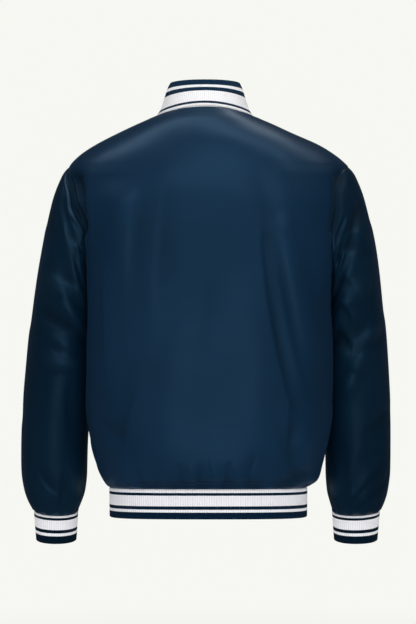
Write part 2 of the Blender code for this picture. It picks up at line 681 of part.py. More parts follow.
def add_snap(name, point, normal, lift, collection):
    """A domed cap, turned round the normal of the cloth that it is set in."""
    flat = SNAP_RADIUS - SNAP_EDGE
    profile = [(0, SNAP_HEIGHT), (flat * 0.7, SNAP_HEIGHT * 0.93), (flat, SNAP_HEIGHT * 0.75),
               (SNAP_RADIUS, SNAP_HEIGHT * 0.35), (SNAP_RADIUS * 0.97, 0), (0, 0)]
    mesh = bpy.data.meshes.new(name)
    points = [(x, 0, z) for x, z in profile]
    mesh.from_pydata(points, [(i, i + 1) for i in range(len(points) - 1)], [])
    snap = add_object(name, mesh, ENAMEL, collection)
    snap.location = point + normal * lift
    snap.rotation_euler = normal.to_track_quat("Z", "Y").to_euler()
    screw = snap.modifiers.new("Turn", "SCREW")
    screw.steps = screw.render_steps = SNAP_STEPS
    screw.use_merge_vertices = True
    screw.merge_threshold = 0.00001
    return snap


def level_of_front(z):
    """The level whose ring passes the middle of the front at height z."""
    low, high = HEM_LEVEL, NECK_LEVEL
    while high - low > 1e-6:
        middle = (low + high) / 2
        if BODY.read(middle).front_z < z:
            low = middle
        else:
            high = middle
    return low


def add_snaps(collection):
    front = -math.pi / 2
    for k in range(FRONT_SNAPS):
        level = level_of_front(SNAP_TOP - k * SNAP_SPACING)
        point, normal = body_surface(level, front), body_normal(level, front)
        add_snap(f"snap_{k + 1}", point, normal, SEAM_GAP, collection)
    point = band_surface(BAND_SNAP_SHARE, front)
    normal = outward(band_surface, BAND_SNAP_SHARE, front, -SHARE_STEP)
    add_snap(f"snap_{FRONT_SNAPS + 1}", point, normal, RIB_HEIGHT + SEAM_GAP, collection)


def main():
    for obj in list(bpy.data.objects):
        bpy.data.objects.remove(obj, do_unlink=True)
    jacket = bpy.data.collections.new("varsity_jacket")
    bpy.context.scene.collection.children.link(jacket)

    for panel in (
        Panel("back", back_ends, BACK_COLUMNS, FINE_BACK_COLUMNS, None),
        Panel("front_left", left_front_ends, FRONT_COLUMNS, FINE_FRONT_COLUMNS, 0.0),
        Panel("front_right", right_front_ends, FRONT_COLUMNS, FINE_FRONT_COLUMNS, SATIN_WALL + LAP_GAP),
    ):
        add_body_panel(panel, jacket)

    for word, hang in (("left", LEFT_HANG), ("right", RIGHT_HANG)):
        add_sleeve(f"sleeve_{word}", hang, jacket)
        cuff = cuff_surface(hang)
        add_band(f"cuff_{word}", cuff, -SHARE_STEP, 0, 2 * math.pi, (0, 1), jacket, side=hang.side)

    start = angle_at_front(COLLAR_RINGS[-1], COLLAR_END)
    end = 2 * math.pi + angle_at_front(COLLAR_RINGS[-1], -COLLAR_END)
    shares = (0, 0.3, 0.65, 1)
    add_band("collar", collar_surface, SHARE_STEP, start, end, shares, jacket, corner=COLLAR_CORNER)

    start = angle_at_front(BAND_RINGS[0], -LAP_HALF)
    end = 2 * math.pi + angle_at_front(BAND_RINGS[0], LAP_HALF)
    under = RIB_WALL + RIB_HEIGHT + LAP_GAP
    add_band("hem_band", band_surface, -SHARE_STEP, start, end, (0, 1), jacket, under=under)
    add_snaps(jacket)


main()
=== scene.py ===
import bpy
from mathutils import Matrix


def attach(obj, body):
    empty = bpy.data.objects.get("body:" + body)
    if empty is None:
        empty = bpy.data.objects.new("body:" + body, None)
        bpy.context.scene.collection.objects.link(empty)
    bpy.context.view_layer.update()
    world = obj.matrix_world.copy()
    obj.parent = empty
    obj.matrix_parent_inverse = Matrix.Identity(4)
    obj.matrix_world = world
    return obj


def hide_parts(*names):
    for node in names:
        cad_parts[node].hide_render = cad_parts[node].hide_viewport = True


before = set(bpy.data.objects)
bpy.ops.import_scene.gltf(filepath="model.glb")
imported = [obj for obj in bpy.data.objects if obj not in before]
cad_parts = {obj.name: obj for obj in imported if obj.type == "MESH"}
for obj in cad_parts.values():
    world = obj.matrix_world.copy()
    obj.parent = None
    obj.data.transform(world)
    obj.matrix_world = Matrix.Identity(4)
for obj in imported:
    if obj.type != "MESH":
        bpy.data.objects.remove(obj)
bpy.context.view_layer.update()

import math
from functools import partial
from types import SimpleNamespace

import bmesh
import bpy
import numpy as np
from mathutils import Vector

# +X is the wearer's left, -Y the front and +Z up. Lengths are in metres, but in millimetres in the tables
# of rings and creases.
mm = 0.001
cloth = {
    "satinWall": 0.0025,
    "ribWall": 0.0032,
    "seamGap": 0.0003,
    "lapHalf": 0.015,
    "lapGap": 0.0006,
    "lapRamp": (-0.036, -0.017),
    "rollDepth": 0.0010,     # how far a seam lies below the cloth on both sides of it
    "rollReach": 0.0036,
    "edgeColumns": (0, 0.0007, 0.0016, 0.0028, 0.0044),
    "foldDepth": 0.0030,     # a crease this deep has three quarters of the full shading
    "sharpCrease": 0.008,    # up to this half breadth a crease is shaded in full
    "curveSamples": 400,
    "mitre": (-0.2, 0.3),    # how alike two walls face at their seam, from no mitre to a whole one
    "sharpAngle": 60,
}
# How far apart points are taken to find the slope of a surface
probe = {"turn": 0.01, "level": 0.002, "station": -0.05, "share": 0.02, "down": 0.25}

# Rings round the body from the neck seam down to the hem seam, each a rounded rectangle in plan
ringFields = "sideZ backZ frontZ middleX halfWidth backY frontY square press pressY"
bodyRings = [
    (-2, 12.8, -55, 5.6, 83.6, 74, 72, 2, 0, 0),
    (-24, -10, -63, 6, 134.9, 94.5, 84, 1.95, 0, 0),
    (-54.6, -45, -75, 0.8, 198, 114, 98, 1.9, 0, 0),
    (-75.1, -69, -87, -1.6, 227, 122, 105, 1.95, 0, 0),
    (-87, -83.5, -96.5, -2.5, 237.8, 126, 108.5, 2, 0, 0),
    (-106, -104, -112.5, -3.2, 245.5, 131, 113.5, 2.1, 0, 0),
    (-143, -142, -146, -3, 246.5, 138, 121, 2.35, 2, 0),
    (-172, -171.5, -174, -2.8, 239, 141, 125.5, 2.55, 6, 0),
    (-195, -195, -196, -2.7, 229, 143, 128, 2.7, 10, 0),
    (-230, -230, -230, -2.6, 219, 145, 130.5, 2.85, 17, 0),
    (-303, -303, -303, -2.6, 215.5, 147, 132, 3, 26, -3),
    (-400, -400, -400, -2.6, 214.5, 146.5, 131.5, 3, 27, -14),
    (-500, -500, -500, -2.4, 212, 145.5, 131, 2.9, 21, -28),
    (-553, -553, -553, -2, 204.5, 145, 131.5, 2.8, 11, -36),
    (-579, -578, -579, -1.8, 197, 144, 131, 2.7, 4, -40),
    (-604, -602, -604, -1.6, 188.5, 140.5, 129, 2.6, 0, 0),
    (-618, -615, -618, -1.3, 181, 135.5, 125, 2.6, 0, 0),
    (-626.5, -623.5, -626.5, -1, 174, 130, 120.5, 2.6, 0, 0),
    (-632, -629, -632, -0.6, 168, 125.5, 117.5, 2.6, 0, 0),
]
collarRings = [
    (56, 58.2, -10, 5, 58.5, 55.5, 65, 2.3, 0, 0),
    (48, 51.5, -16.5, 5.2, 62.5, 58.5, 66.5, 2.3, 0, 0),
    (25, 35, -34, 5.4, 70, 65.5, 69, 2.1, 0, 0),
    (10, 22.5, -45, 5.5, 75.2, 70, 70.5, 2, 0, 0),
    (-1.7, 13.1, -54.7, 5.6, 82.5, 73.5, 71.5, 2, 0, 0),
]
hemBandRings = [
    (-632.3, -629.3, -632.3, -0.6, 168, 125.5, 117.5, 2.6, 0, 0),
    (-682, -679, -682, -0.6, 167.6, 125, 117, 2.6, 0, 0),
]
pressReach = 0.088     # how far the arms' pressure on the sides of the body reaches

# Rings down a sleeve, each between its outer and its inner point
sleeveFields = "station outerX outerZ innerX innerZ middleY reach square tilt"
sleeveRings = [
    (0, 238, -87, 190.5, -303, 3, 75, 2, 0),
    (1, 246.5, -97.5, 193.8, -313, 2, 77.5, 2, 0),
    (2, 255.2, -116.1, 194.2, -323, 1, 79, 2, 0),
    (3, 264.6, -143.4, 194.5, -333, -0.5, 80, 2, 0),
    (4, 277.6, -194.6, 194.6, -350, -3, 80, 2.1, 0),
    (5, 287, -245.8, 194.6, -370, -6, 79, 2.1, 0),
    (6, 294.5, -297, 194.8, -395, -9.5, 77, 2.1, 0.01),
    (7, 300.7, -348.2, 195.2, -425, -14, 75, 2.1, 0.02),
    (8, 305.6, -399.4, 196, -458, -19, 73, 2.1, 0.04),
    (9, 309.8, -450.7, 197.5, -493, -25, 70.5, 2.1, 0.06),
    (10, 313.2, -501.9, 199.8, -530, -31, 68, 2.1, 0.08),
    (11, 314.9, -553.1, 201.2, -568, -37, 66, 2.1, 0.11),
    (12, 314, -604.3, 201.4, -608, -42, 63, 2.1, 0.14),
    (13, 309.5, -639, 204.5, -639.5, -45, 58.5, 2.1, 0.16),
    (14, 303, -659, 211, -660, -46.5, 52, 2.1, 0.17),
    (15, 297, -670.3, 216, -672, -47.5, 45.5, 2.1, 0.17),
    (16, 293.5, -675.7, 217.5, -678.2, -47.8, 39.5, 2.1, 0.17),
]
cuffRings = [
    (0, 293.5, -676, 217.5, -678.5, -47.9, 39.5, 2.1, 0.17),
    (1, 289.8, -727, 220.8, -727.5, -53, 36.5, 2.1, 0.14),
]
armhole = {"top": -0.0870, "bottom": -0.3030, "front": 0.072}
# Each sleeve hangs a little differently from the other
leftArm = SimpleNamespace(side=1, spread=0.0000, swing=0.0066, wrist=0.988, back=0.070, square=1.75)
rightArm = SimpleNamespace(side=-1, spread=0.0036, swing=-0.0038, wrist=1.070, back=0.084, square=2.80)
hanging = {"seamFade": 5.0, "swingFrom": 4, "swingTo": 12, "wristFrom": 12, "last": 16}


def smooth(share):
    share = np.clip(share, 0, 1)
    return share * share * (3 - 2 * share)


def ramp(value, start, end):
    return smooth((value - start) / (end - start))


# Smooth curves through a table's rows, read at any value of its first column
class Profile:
    def __init__(self, fields, rows):
        self.fields = fields.split()
        scale = [1 if field in ("station", "square", "tilt") else mm for field in self.fields]
        self.columns = (np.array(sorted(rows)) * scale).T
        self.at = self.columns[0]
        self.slopes = np.array([self.gentleSlopes(column) for column in self.columns])

    def gentleSlopes(self, value):
        rise = np.diff(value) / np.diff(self.at)
        slope = np.zeros(len(value))
        slope[0], slope[-1] = rise[0], rise[-1]
        for i in range(1, len(value) - 1):
            if rise[i - 1] * rise[i] > 0:
                slope[i] = 2 * rise[i - 1] * rise[i] / (rise[i - 1] + rise[i])
        return slope

    def read(self, at):
        at = np.clip(at, self.at[0], self.at[-1])
        i = np.minimum(np.searchsorted(self.at, at, side="right") - 1, len(self.at) - 2)
        step = self.at[i + 1] - self.at[i]
        t = (at - self.at[i]) / step
        values = (1 + 2 * t) * (1 - t) ** 2 * self.columns[:, i]
        values = values + t * (1 - t) ** 2 * step * self.slopes[:, i]
        values = values + t * t * (3 - 2 * t) * self.columns[:, i + 1]
        values = values + t * t * (t - 1) * step * self.slopes[:, i + 1]
        return SimpleNamespace(**dict(zip(self.fields, values)))


bodyProfile = Profile(ringFields, bodyRings)
collarProfile = Profile(ringFields, collarRings)
hemBandProfile = Profile(ringFields, hemBandRings)
sleeveProfile = Profile(sleeveFields, sleeveRings)
cuffProfile = Profile(sleeveFields, cuffRings)
hemLevel, neckLevel = bodyProfile.at[[0, -1]]
collarRing = collarProfile.read(collarProfile.at[0])
hemRing = hemBandProfile.read(hemBandProfile.at[-1])
wristRing = sleeveProfile.read(sleeveProfile.at[-1])


def unit(vectors):
    return vectors / np.maximum(np.linalg.norm(vectors, axis=-1, keepdims=True), 1e-12)


def dot(a, b):
    return (a * b).sum(axis=-1, keepdims=True)


def roundRectangle(angle, square):
    across, along = np.cos(angle), np.sin(angle)
    radius = (np.abs(across) ** square + np.abs(along) ** square) ** (-1 / square)
    return across * radius, along * radius


def otherSide(share, square):
    return np.maximum(0, 1 - np.abs(share) ** square) ** (1 / square)


def ringPoint(ring, angle):
    across, along = roundRectangle(angle, ring.square)
    behind = along > 0
    rise = np.where(behind, ring.backZ, ring.frontZ) - ring.sideZ
    y = along * np.where(behind, ring.backY, ring.frontY)
    pressed = ring.press * np.maximum(0, 1 - ((y - ring.pressY) / pressReach) ** 2) ** 2
    x = ring.middleX + ring.halfWidth * across - np.copysign(pressed, across)
    return np.stack(np.broadcast_arrays(x, y, ring.sideZ + rise * along * along), axis=-1)


def angleAtDepth(ring, y):
    along = y / np.where(y > 0, ring.backY, ring.frontY)
    return np.arctan2(along, otherSide(along, ring.square))


def angleAtFront(ring, x):
    across = x / ring.halfWidth
    return -np.arctan2(otherSide(across, ring.square), across)


def outward(surface, u, v, up, side=1):
    around = surface(u, v + probe["turn"]) - surface(u, v - probe["turn"])
    upward = surface(u + up, v) - surface(u - up, v)
    return unit(np.cross(around, upward)) * side


def bodyForm(level, angle):
    return ringPoint(bodyProfile.read(level), angle)


# The height of a table's creases at u and v. Each row has the two ends, u1, v1, u2 and v2, then the half
# breadth, and the height, which is below 0 for a trough. It may go on with the bow, which bends its middle
# aside, the lean, which makes one flank steep and the other long, and the taper, which thins its ends.
# With shade, a broad crease counts for less, as it does in the cloth's shading.
def creaseHeight(creases, u, v, shade=False):
    total = 0
    for row in creases:
        *lengths, lean, taper = (*row, 0, 0, 0)[:9]
        u1, v1, u2, v2, breadth, height, bow = np.array(lengths) * mm
        du, dv = u2 - u1, v2 - v1
        length = math.hypot(du, dv)
        share = np.clip(((u - u1) * du + (v - v1) * dv) / length**2, 0, 1)
        bowed = bow * 4 * share * (1 - share)
        awayU = u - u1 - du * share + dv / length * bowed
        awayV = v - v1 - dv * share - du / length * bowed
        aside = (du * awayV - dv * awayU) / length
        reach = 2 * breadth * (1 - lean * np.tanh(aside / (0.4 * breadth)))
        ridge = np.maximum(0, 1 - (np.hypot(awayU, awayV) / reach) ** 2) ** 3
        full = height * (min(1, cloth["sharpCrease"] / breadth) if shade else 1)
        total = total + full * ridge * (1 - taper * (2 * share - 1) ** 2)
    return total


# The creases of the body, placed by x and z on its back and its front, and by y and z on its left (1) and
# right (-1) sides
body = {
    "backCreases": [
        (224, -112, 216, -196, 12, -10),
        (-226, -108, -218, -196, 12, -8),
        (100, -110, 108, -250, 28, -2.2, 0, 0, 0.6),
        (150, -150, 155, -400, 24, 3),
        (-90, -110, -160, -420, 18, -2.2, 0, 0, 0.7),
        (-125, -200, -180, -420, 18, 3),
        (176, -500, 150, -530, 16, -1),
        (-165, -560, -172, -610, 22, 5),
        # The armhole recess: a trough whose shading also paints it dark
        (215.5, -120, 209, -188, 7, -7, 0, -0.5, 0.3),
        (-94, -216, -142, -487, 10, -3.4, 6, 0.5, 0.5),
        (-108, -225, -158, -470, 9, 1.8, 5, -0.3, 0.6),
        (-142, -487, -137, -566, 9, -2.4, 0, 0.5, 0.6),
        (-89, -118, -152, -397, 10, -1.6, -4, -0.4, 0.9),
        (186, -512, 136, -545, 6, -1.6, 2, 0.5, 0.8),
        (128, -470, 148, -560, 10, -1.6, 3, -0.4, 0.6),
        (118, -130, 128, -300, 10, -1.4, 3, 0.4, 0.9),
        (62, -120, 78, -330, 16, -2.4, 6, 0.4, 0.8),
        (20, -330, 70, -540, 30, 2.2, 12, 0.2, 0.8),
        (-14, -150, -4, -400, 22, -1.8, -8, 0.3, 0.8),
        (-60, -300, -90, -540, 26, 1.8, -8, 0.2, 0.8),
        (168, -260, 162, -470, 10, 2, 3, 0.4, 0.6),
        (-125, -540, -152, -612, 13, -2.6, 2, 0.3, 0.4),
        (50, -594, 37, -627, 5, -1.2, 1, 0.5, 0.4),
        (32, -590, 22, -626, 4.8, 1, -1, 0.4, 0.4),
        (11, -596, 17, -627, 4.6, -1.3, 1, -0.5, 0.4),
        (-6, -582, -18, -625, 5.5, 1.2, 2, 0.4, 0.4),
        (-33, -588, -24, -627, 4.6, -1.5, -1, 0.5, 0.4),
        (-44, -590, -58, -626, 5, 1.1, 1, 0.4, 0.4),
        (-78, -580, -66, -627, 5.4, -1.5, 2, -0.5, 0.4),
        (-86, -594, -98, -626, 4.6, 1, 0, 0.4, 0.4),
        (78, -596, 90, -627, 4.6, -1, 0, 0.4, 0.4),
        (119, -590, 106, -626, 5.2, -1.2, 0, -0.4, 0.4),
        # The next two are shallow troughs just above the hem band that mostly paint shade there
        (130, -623, -135, -623, 8, -3.4, 0, 0, 0.6),
        (-140, -618, -178, -596, 11, -4, 0, 0, 0.4),
    ],
    "frontCreases": [
        (214, -120, 208, -200, 12, -7),
        (-214, -120, -208, -200, 12, -7),
        (110, -120, 100, -280, 26, -3.5),
        (-120, -130, -105, -300, 24, -3.5),
        (150, -300, 125, -460, 22, 3),
        (-140, -260, -150, -420, 22, 3),
        (182, -150, 150, -330, 10, -2.8, 6, 0.5, 0.5),
        (128, -200, 138, -410, 12, -2, -6, 0.4, 0.6),
        (160, -420, 118, -545, 10, -2.6, 6, -0.4, 0.5),
        (62, -300, 80, -520, 16, -1.6, 6, 0.3, 0.5),
        (140, -560, 122, -620, 8, -2.4, 0, 0.4, 0.4),
        (70, -578, 78, -625, 5.5, -1.8, 0, 0.4, 0.4),
        (94, -586, 88, -624, 5, 1.6, 0, 0.4, 0.4),
        (-176, -160, -158, -350, 10, -2.8, -6, -0.5, 0.5),
        (-118, -170, -134, -390, 12, -2.2, 6, 0.4, 0.6),
        (-170, -430, -132, -556, 10, -2.6, -6, 0.4, 0.5),
        (-74, -330, -66, -540, 16, -1.6, -6, 0.3, 0.5),
        (-90, -574, -96, -624, 6, -2, 0, 0.4, 0.4),
        (-120, -584, -114, -625, 5.2, 1.6, 0, 0.4, 0.4),
        (24, -168, 70, -186, 7, -1.2, 2, 0.4, 0.7),
        (26, -338, 64, -330, 7, -1, 2, 0.4, 0.7),
    ],
    "sideCreases": {
        1: [(60, -330, 30, -460, 12, -3, 6, 0.4, 0.5),
            (-30, -320, -55, -500, 14, -2.8, -6, 0.4, 0.5),
            (70, -500, 20, -580, 11, -2.4, 4, 0.4, 0.5)],
        -1: [(50, -340, 55, -480, 12, -3, -6, 0.4, 0.5),
             (-45, -330, -20, -470, 14, -2.6, 6, 0.4, 0.5),
             (40, -520, -20, -590, 11, -2.4, 4, 0.4, 0.5)],
    },
    "clearOfSide": 0.030,
    "sideReach": (0.155, 0.190),
    "clearOfHem": 0.015,
    "hemPuckers": 24,
    "hemPuckerHeight": 0.0022,
    "hemPuckerReach": 0.018,
    "puckerRoot": 0.004,
    "clearOfFront": 0.3,
    "drape": 0.0012,
}


# Low waves all over the cloth
def drape(point, height):
    x, y, z = np.moveaxis(point, -1, 0)
    wide = np.sin(19 * x + 13 * z + 1.3) * np.sin(15 * z - 21 * y + 0.4)
    fine = np.sin(47 * x - 22 * z + 31 * y + 2.2) * np.sin(35 * z + 17 * x + 0.9)
    return height * (wide + 0.45 * fine)


def hemPucker(level, angle):
    height = level - hemLevel
    fade = np.exp(-height / body["hemPuckerReach"]) * np.minimum(1, height / body["puckerRoot"])
    uneven = 0.65 + 0.35 * np.sin(3 * angle + 0.8) * np.sin(7 * angle)
    wave = np.sin(body["hemPuckers"] * angle + 0.9 * np.sin(4 * angle))
    fromFront = np.abs((angle + math.pi / 2 + math.pi) % (2 * math.pi) - math.pi)
    return body["hemPuckerHeight"] * fade * uneven * wave * smooth(fromFront / body["clearOfFront"])


def bodyFolds(level, angle, shade=False):
    x, y, z = np.moveaxis(bodyForm(level, angle), -1, 0)
    behind, before = (creaseHeight(body[table], x, z, shade) for table in ("backCreases", "frontCreases"))
    left, right = (creaseHeight(body["sideCreases"][side], y, z, shade) for side in (1, -1))
    folds = np.where(y > 0, behind, before) * smooth(np.abs(y) / body["clearOfSide"])
    return folds + np.where(x > 0, left, right) * ramp(np.abs(x), *body["sideReach"])


def bodySurface(level, angle):
    level = np.clip(level, hemLevel, neckLevel)
    point = bodyForm(level, angle)
    folds = bodyFolds(level, angle) + drape(point, body["drape"])
    height = folds * smooth((level - hemLevel) / body["clearOfHem"]) + hemPucker(level, angle)
    return point + outward(bodyForm, level, angle, probe["level"]) * height[..., None]


def armholePlace(arm, turn):
    middle = (armhole["top"] + armhole["bottom"]) / 2
    level = middle + (armhole["top"] - middle) * np.cos(turn)
    sine, cosine = np.sin(turn), np.cos(turn)
    depth = sine * np.where(sine > 0, arm.back, armhole["front"])
    depth = np.where((sine > 0) & (cosine > 0), arm.back * otherSide(cosine, arm.square), depth)
    angle = angleAtDepth(bodyProfile.read(level), depth)
    return level, angle if arm.side > 0 else math.pi - angle


def sleeveRingPoint(ring, turn):
    across, along = roundRectangle(turn, ring.square)
    x = (ring.outerX + ring.innerX) / 2 + (ring.outerX - ring.innerX) / 2 * across
    z = (ring.outerZ + ring.innerZ) / 2 + (ring.outerZ - ring.innerZ) / 2 * across
    depth = ring.reach * along
    return np.stack(np.broadcast_arrays(x, ring.middleY + depth, z - ring.tilt * depth), axis=-1)


# Swings the plain sleeve as its own sleeve hangs, and puts it on its side
def hung(point, arm, station):
    swing = arm.spread + arm.swing * ramp(station, hanging["swingFrom"], hanging["swingTo"])
    wrist = ramp(station, hanging["wristFrom"], hanging["last"])
    middle = (wristRing.outerX + wristRing.innerX) / 2
    across = (point[..., 0] - middle) * (1 + (arm.wrist - 1) * wrist)
    return np.stack([arm.side * (middle + across + swing), point[..., 1], point[..., 2]], axis=-1)


# The creases of the left (1) and right (-1) sleeve, placed by the angle round it in degrees and by the
# station down it. 0 is its outer line, 90 its back, 180 its inner line and 270 its front.
sleeve = {
    1: [
        (60, 2.2, 120, 2.9, 16, -2.4),
        (40, 3.6, 110, 4.2, 18, -2.6),
        (70, 5, 112, 5.4, 17, 4),
        (60, 6.4, 130, 6, 17, -4.5),
        (80, 7.6, 110, 7.3, 17, 3),
        (210, 6, 290, 6.6, 18, -4.5),
        # The next two lie where the cloth hardly moves near the seam, so they mostly paint shade into the
        # hollow by the armhole
        (26, 0.3, 70, 0.5, 14, -13, 0, 0, 0.2),
        (64, 0.7, 90, 0.2, 10, -8, 0, 0, 0.4),
        (30, 1, 62, 1.7, 5.5, 1.8, 0, 0.4, 0.5),
        (62, 1.7, 92, 0.6, 5.5, 2.2, 3, 0.4, 0.4),
        (77, 2.6, 107, 0.9, 6.5, -2.2, 2, 0.4, 0.4),
        (86, 2.6, 112, 0.6, 6, 1.5, 2, -0.4, 0.4),
        (43, 4.9, 108, 3.9, 8, -2.4, 5, 0.5, 0.6),
        (62, 5.1, 130, 3.3, 7, 1.2, 4, -0.4, 0.6),
        (70, 5.6, 133, 4.2, 6.5, -2.4, 3, 0.5, 0.5),
        (59, 6.6, 122, 5.8, 7, -2.4, 4, 0.5, 0.6),
        (64, 7, 126, 6.3, 6.5, 1.3, 4, -0.4, 0.6),
        (50, 7.2, 133, 6.8, 7, -2.2, 14, 0.5, 0.6),
        (54, 7.7, 128, 7.2, 7, 1.3, 12, -0.4, 0.6),
        (79, 8.6, 90, 10.8, 18, 1.2, 3, 0.2, 0.5),
        (112, 8.6, 124, 10.6, 11, -2.2, 0, 0.4, 0.6),
        (59, 11.4, 96, 12.8, 8, -2, 4, 0.5, 0.7),
        (48, 11.9, 82, 13.2, 8, 1, 4, -0.3, 0.7),
        (110, 12, 104, 13.6, 7, -2.4, 0, 0.4, 0.5),
        (285, 3, 252, 1, 7.5, -3.6, 3, 0.4, 0.5),
        (312, 4.8, 246, 3.8, 8, -3.4, 5, 0.5, 0.6),
        (300, 6.3, 236, 5.3, 7.5, -3.2, 5, 0.5, 0.6),
        (306, 7.6, 238, 7, 7.5, 2.8, 12, -0.4, 0.6),
        (296, 9.4, 258, 10.8, 9, -2.6, 4, 0.4, 0.6),
        (304, 11.4, 262, 12.8, 8, -3.4, 4, 0.5, 0.5),
        (-24, 3.2, 26, 3.9, 14, -1, 4, 0.4, 0.6),
        (-30, 6.6, 30, 7.2, 15, -0.9, 4, 0.4, 0.6),
        (-20, 10.4, 24, 9.8, 15, -0.9, 4, 0.4, 0.6),
        (150, 6.2, 206, 5.8, 9, -2.6, 4, 0.4, 0.6),
        (158, 8.4, 214, 8, 9, -2.2, 4, 0.4, 0.6),
    ],
    -1: [
        (100, 2, 60, 2.8, 14, -4),
        (150, 3.4, 40, 3, 16, -4),
        (112, 4.7, 70, 5.2, 17, 4),
        (130, 6, 80, 6.8, 17, -5),
        (60, 7, 105, 8.4, 17, 3.5),
        (210, 5.6, 290, 6.4, 18, -4.5),
        (60, 10.6, 100, 12.4, 16, -2),
        (96, 0.8, 74, 1.5, 7, -2.8, 0, 0.4, 0.4),
        (110, 0.9, 48, 3.8, 6.5, 1.9, -2, 0.4, 0.5),
        (113, 1.5, 52, 4.4, 7, -2.6, -2, -0.5, 0.5),
        (114, 2.2, 47, 5.1, 10, 1, 0, 0.3, 0.6),
        (125, 2.9, 82, 5.1, 7.5, -2.8, 3, 0.4, 0.6),
        (131, 3.9, 99, 5.9, 7, -3.2, 2, 0.5, 0.5),
        (137, 5.6, 103, 6.9, 7.5, -4, 2, 0.5, 0.4),
        (106, 6.9, 30, 6.9, 7.5, 1.8, -4, 0.4, 0.5),
        (108, 7.3, 34, 7.4, 8, -2.4, -4, -0.4, 0.6),
        (122, 6.9, 82, 7.7, 6.5, 1.4, 2, 0.4, 0.5),
        (127, 7.7, 66, 8.7, 8.5, -1.6, 4, 0.4, 0.6),
        (84, 8.6, 62, 10.2, 16, 1.1, 3, 0.2, 0.5),
        (79, 10.4, 16, 9.9, 10, -2.2, 4, 0.4, 0.6),
        (101, 13.4, 46, 11.6, 8.5, -2.2, 4, 0.4, 0.5),
        (84, 14, 30, 12.3, 8, -2.2, 4, -0.4, 0.5),
        (118, 11, 112, 13.2, 9, -2.2, 0, 0.4, 0.5),
        (262, 0.9, 292, 2.6, 7.5, -3.4, 3, 0.4, 0.5),
        (244, 3.4, 308, 5, 8, -3.6, 4, 0.5, 0.6),
        (232, 5.6, 300, 6, 7.5, -3.4, 6, 0.5, 0.6),
        (240, 7.2, 312, 7.6, 7.5, 2.8, 10, -0.4, 0.6),
        (256, 9, 284, 10.8, 9, -2.6, 4, 0.4, 0.6),
        (258, 12.6, 306, 11.6, 8, -3.2, 4, 0.5, 0.5),
        (-26, 3.9, 24, 3.3, 14, -1, 4, 0.4, 0.6),
        (-28, 7, 28, 6.3, 15, -0.9, 4, 0.4, 0.6),
        (148, 6.6, 204, 6.9, 9, -2.6, 4, 0.4, 0.6),
        (156, 8.8, 210, 8.2, 9, -2.2, 4, 0.4, 0.6),
    ],
    "degree": 410 / 360,     # millimetres of cloth
    "station": 40,
    "stationAtCuff": 10,
    "clearOfSeam": 1.5,
    "cuffPuckers": 11,
    "cuffPuckerHeight": 0.0016,
    "cuffPuckerReach": 0.014,
    "drape": 0.0009,
    "drapeFade": (3, 2),     # stations over which it fades in at the armhole and out at the cuff
    "sides": 144,
    "innerStep": 4,
    "innerSides": 3,
    "rows": ([0, 0.02, 0.045, 0.08, 0.125], np.arange(0.18, 12, 0.085), np.arange(12, 14.6, 0.12),
             np.arange(14.6, 15.8, 0.12), [15.86, 15.92, 15.96, 16]),
}


def sleeveFolds(arm, station, turn, shade=False):
    degree, length = sleeve["degree"], sleeve["station"]
    total = 0
    for angle1, station1, angle2, station2, *rest in sleeve[arm.side]:
        middle = (angle1 + angle2) / 2
        degrees = (np.degrees(turn) - middle + 180) % 360 + middle - 180
        row = (angle1 * degree, station1 * length, angle2 * degree, station2 * length, *rest)
        total = total + creaseHeight([row], degrees * degree * mm, station * length * mm, shade)
    return total


def cuffPucker(station, turn):
    height = (hanging["last"] - station) * sleeve["stationAtCuff"] * mm
    fade = np.exp(-height / sleeve["cuffPuckerReach"]) * np.minimum(1, height / body["puckerRoot"])
    return sleeve["cuffPuckerHeight"] * fade * np.sin(sleeve["cuffPuckers"] * turn + 0.7 * np.sin(3 * turn))


def sleeveForm(arm, station, turn):
    station = np.clip(station, 0, hanging["last"])
    point = hung(sleeveRingPoint(sleeveProfile.read(station), turn), arm, station)
    seam = bodySurface(*armholePlace(arm, turn))
    plain = hung(sleeveRingPoint(sleeveProfile.read(np.zeros_like(turn)), turn), arm, 0)
    fade = np.maximum(0, 1 - station / hanging["seamFade"]) ** 2
    return point + (seam - plain) * fade[..., None]


def sleeveSurface(arm, station, turn):
    station = np.clip(station, 0, hanging["last"])
    form = sleeveForm(arm, station, turn)
    height = sleeveFolds(arm, station, turn) * smooth(station / sleeve["clearOfSeam"])
    fadeIn, fadeOut = sleeve["drapeFade"]
    fade = smooth(station / fadeIn) * smooth((hanging["last"] - station) / fadeOut)
    height = height + cuffPucker(station, turn) + drape(form, sleeve["drape"]) * fade
    normal = outward(partial(sleeveForm, arm), station, turn, probe["station"], arm.side)
    return form + normal * height[..., None]


# The ways in which the body's wall and the sleeve's wall end at their seam, so that they meet in a mitre
def armholeSeam(arm, turn):
    zero = np.zeros_like(turn)
    step = probe["turn"]
    along = unit(sleeveSurface(arm, zero, turn + step) - sleeveSurface(arm, zero, turn - step)) * arm.side
    bodySide = outward(bodySurface, *armholePlace(arm, turn), probe["level"])
    down = sleeveSurface(arm, zero + probe["down"], turn) - sleeveSurface(arm, zero, turn)
    sleeveSide = unit(np.cross(down, along))
    meet = ramp(dot(bodySide, sleeveSide), *cloth["mitre"])
    intoBody, intoSleeve = np.cross(bodySide, along), np.cross(along, sleeveSide)
    return SimpleNamespace(
        bodyEnd=unit(bodySide + sleeveSide * meet),
        sleeveEnd=unit(sleeveSide + bodySide * meet),
        across=unit(intoSleeve - intoBody + bodySide - sleeveSide),
        roll=unit(bodySide + sleeveSide + 1e-6) * meet,
    )


# Places along a run of this length: close to each other at its two ends, and even between them
def marksAlong(length, count):
    edge = np.array(cloth["edgeColumns"])
    between = np.linspace(edge[-1], length - edge[-1], count - 2 * len(edge) + 2)
    return np.concatenate([edge[:-1], between, length - edge[-2::-1]])


def anglesAlong(curve, start, end, count):
    angles = np.linspace(start, end, cloth["curveSamples"])
    run = runAlong(curve(angles), 0)
    return np.interp(marksAlong(run[-1], count), run, angles)


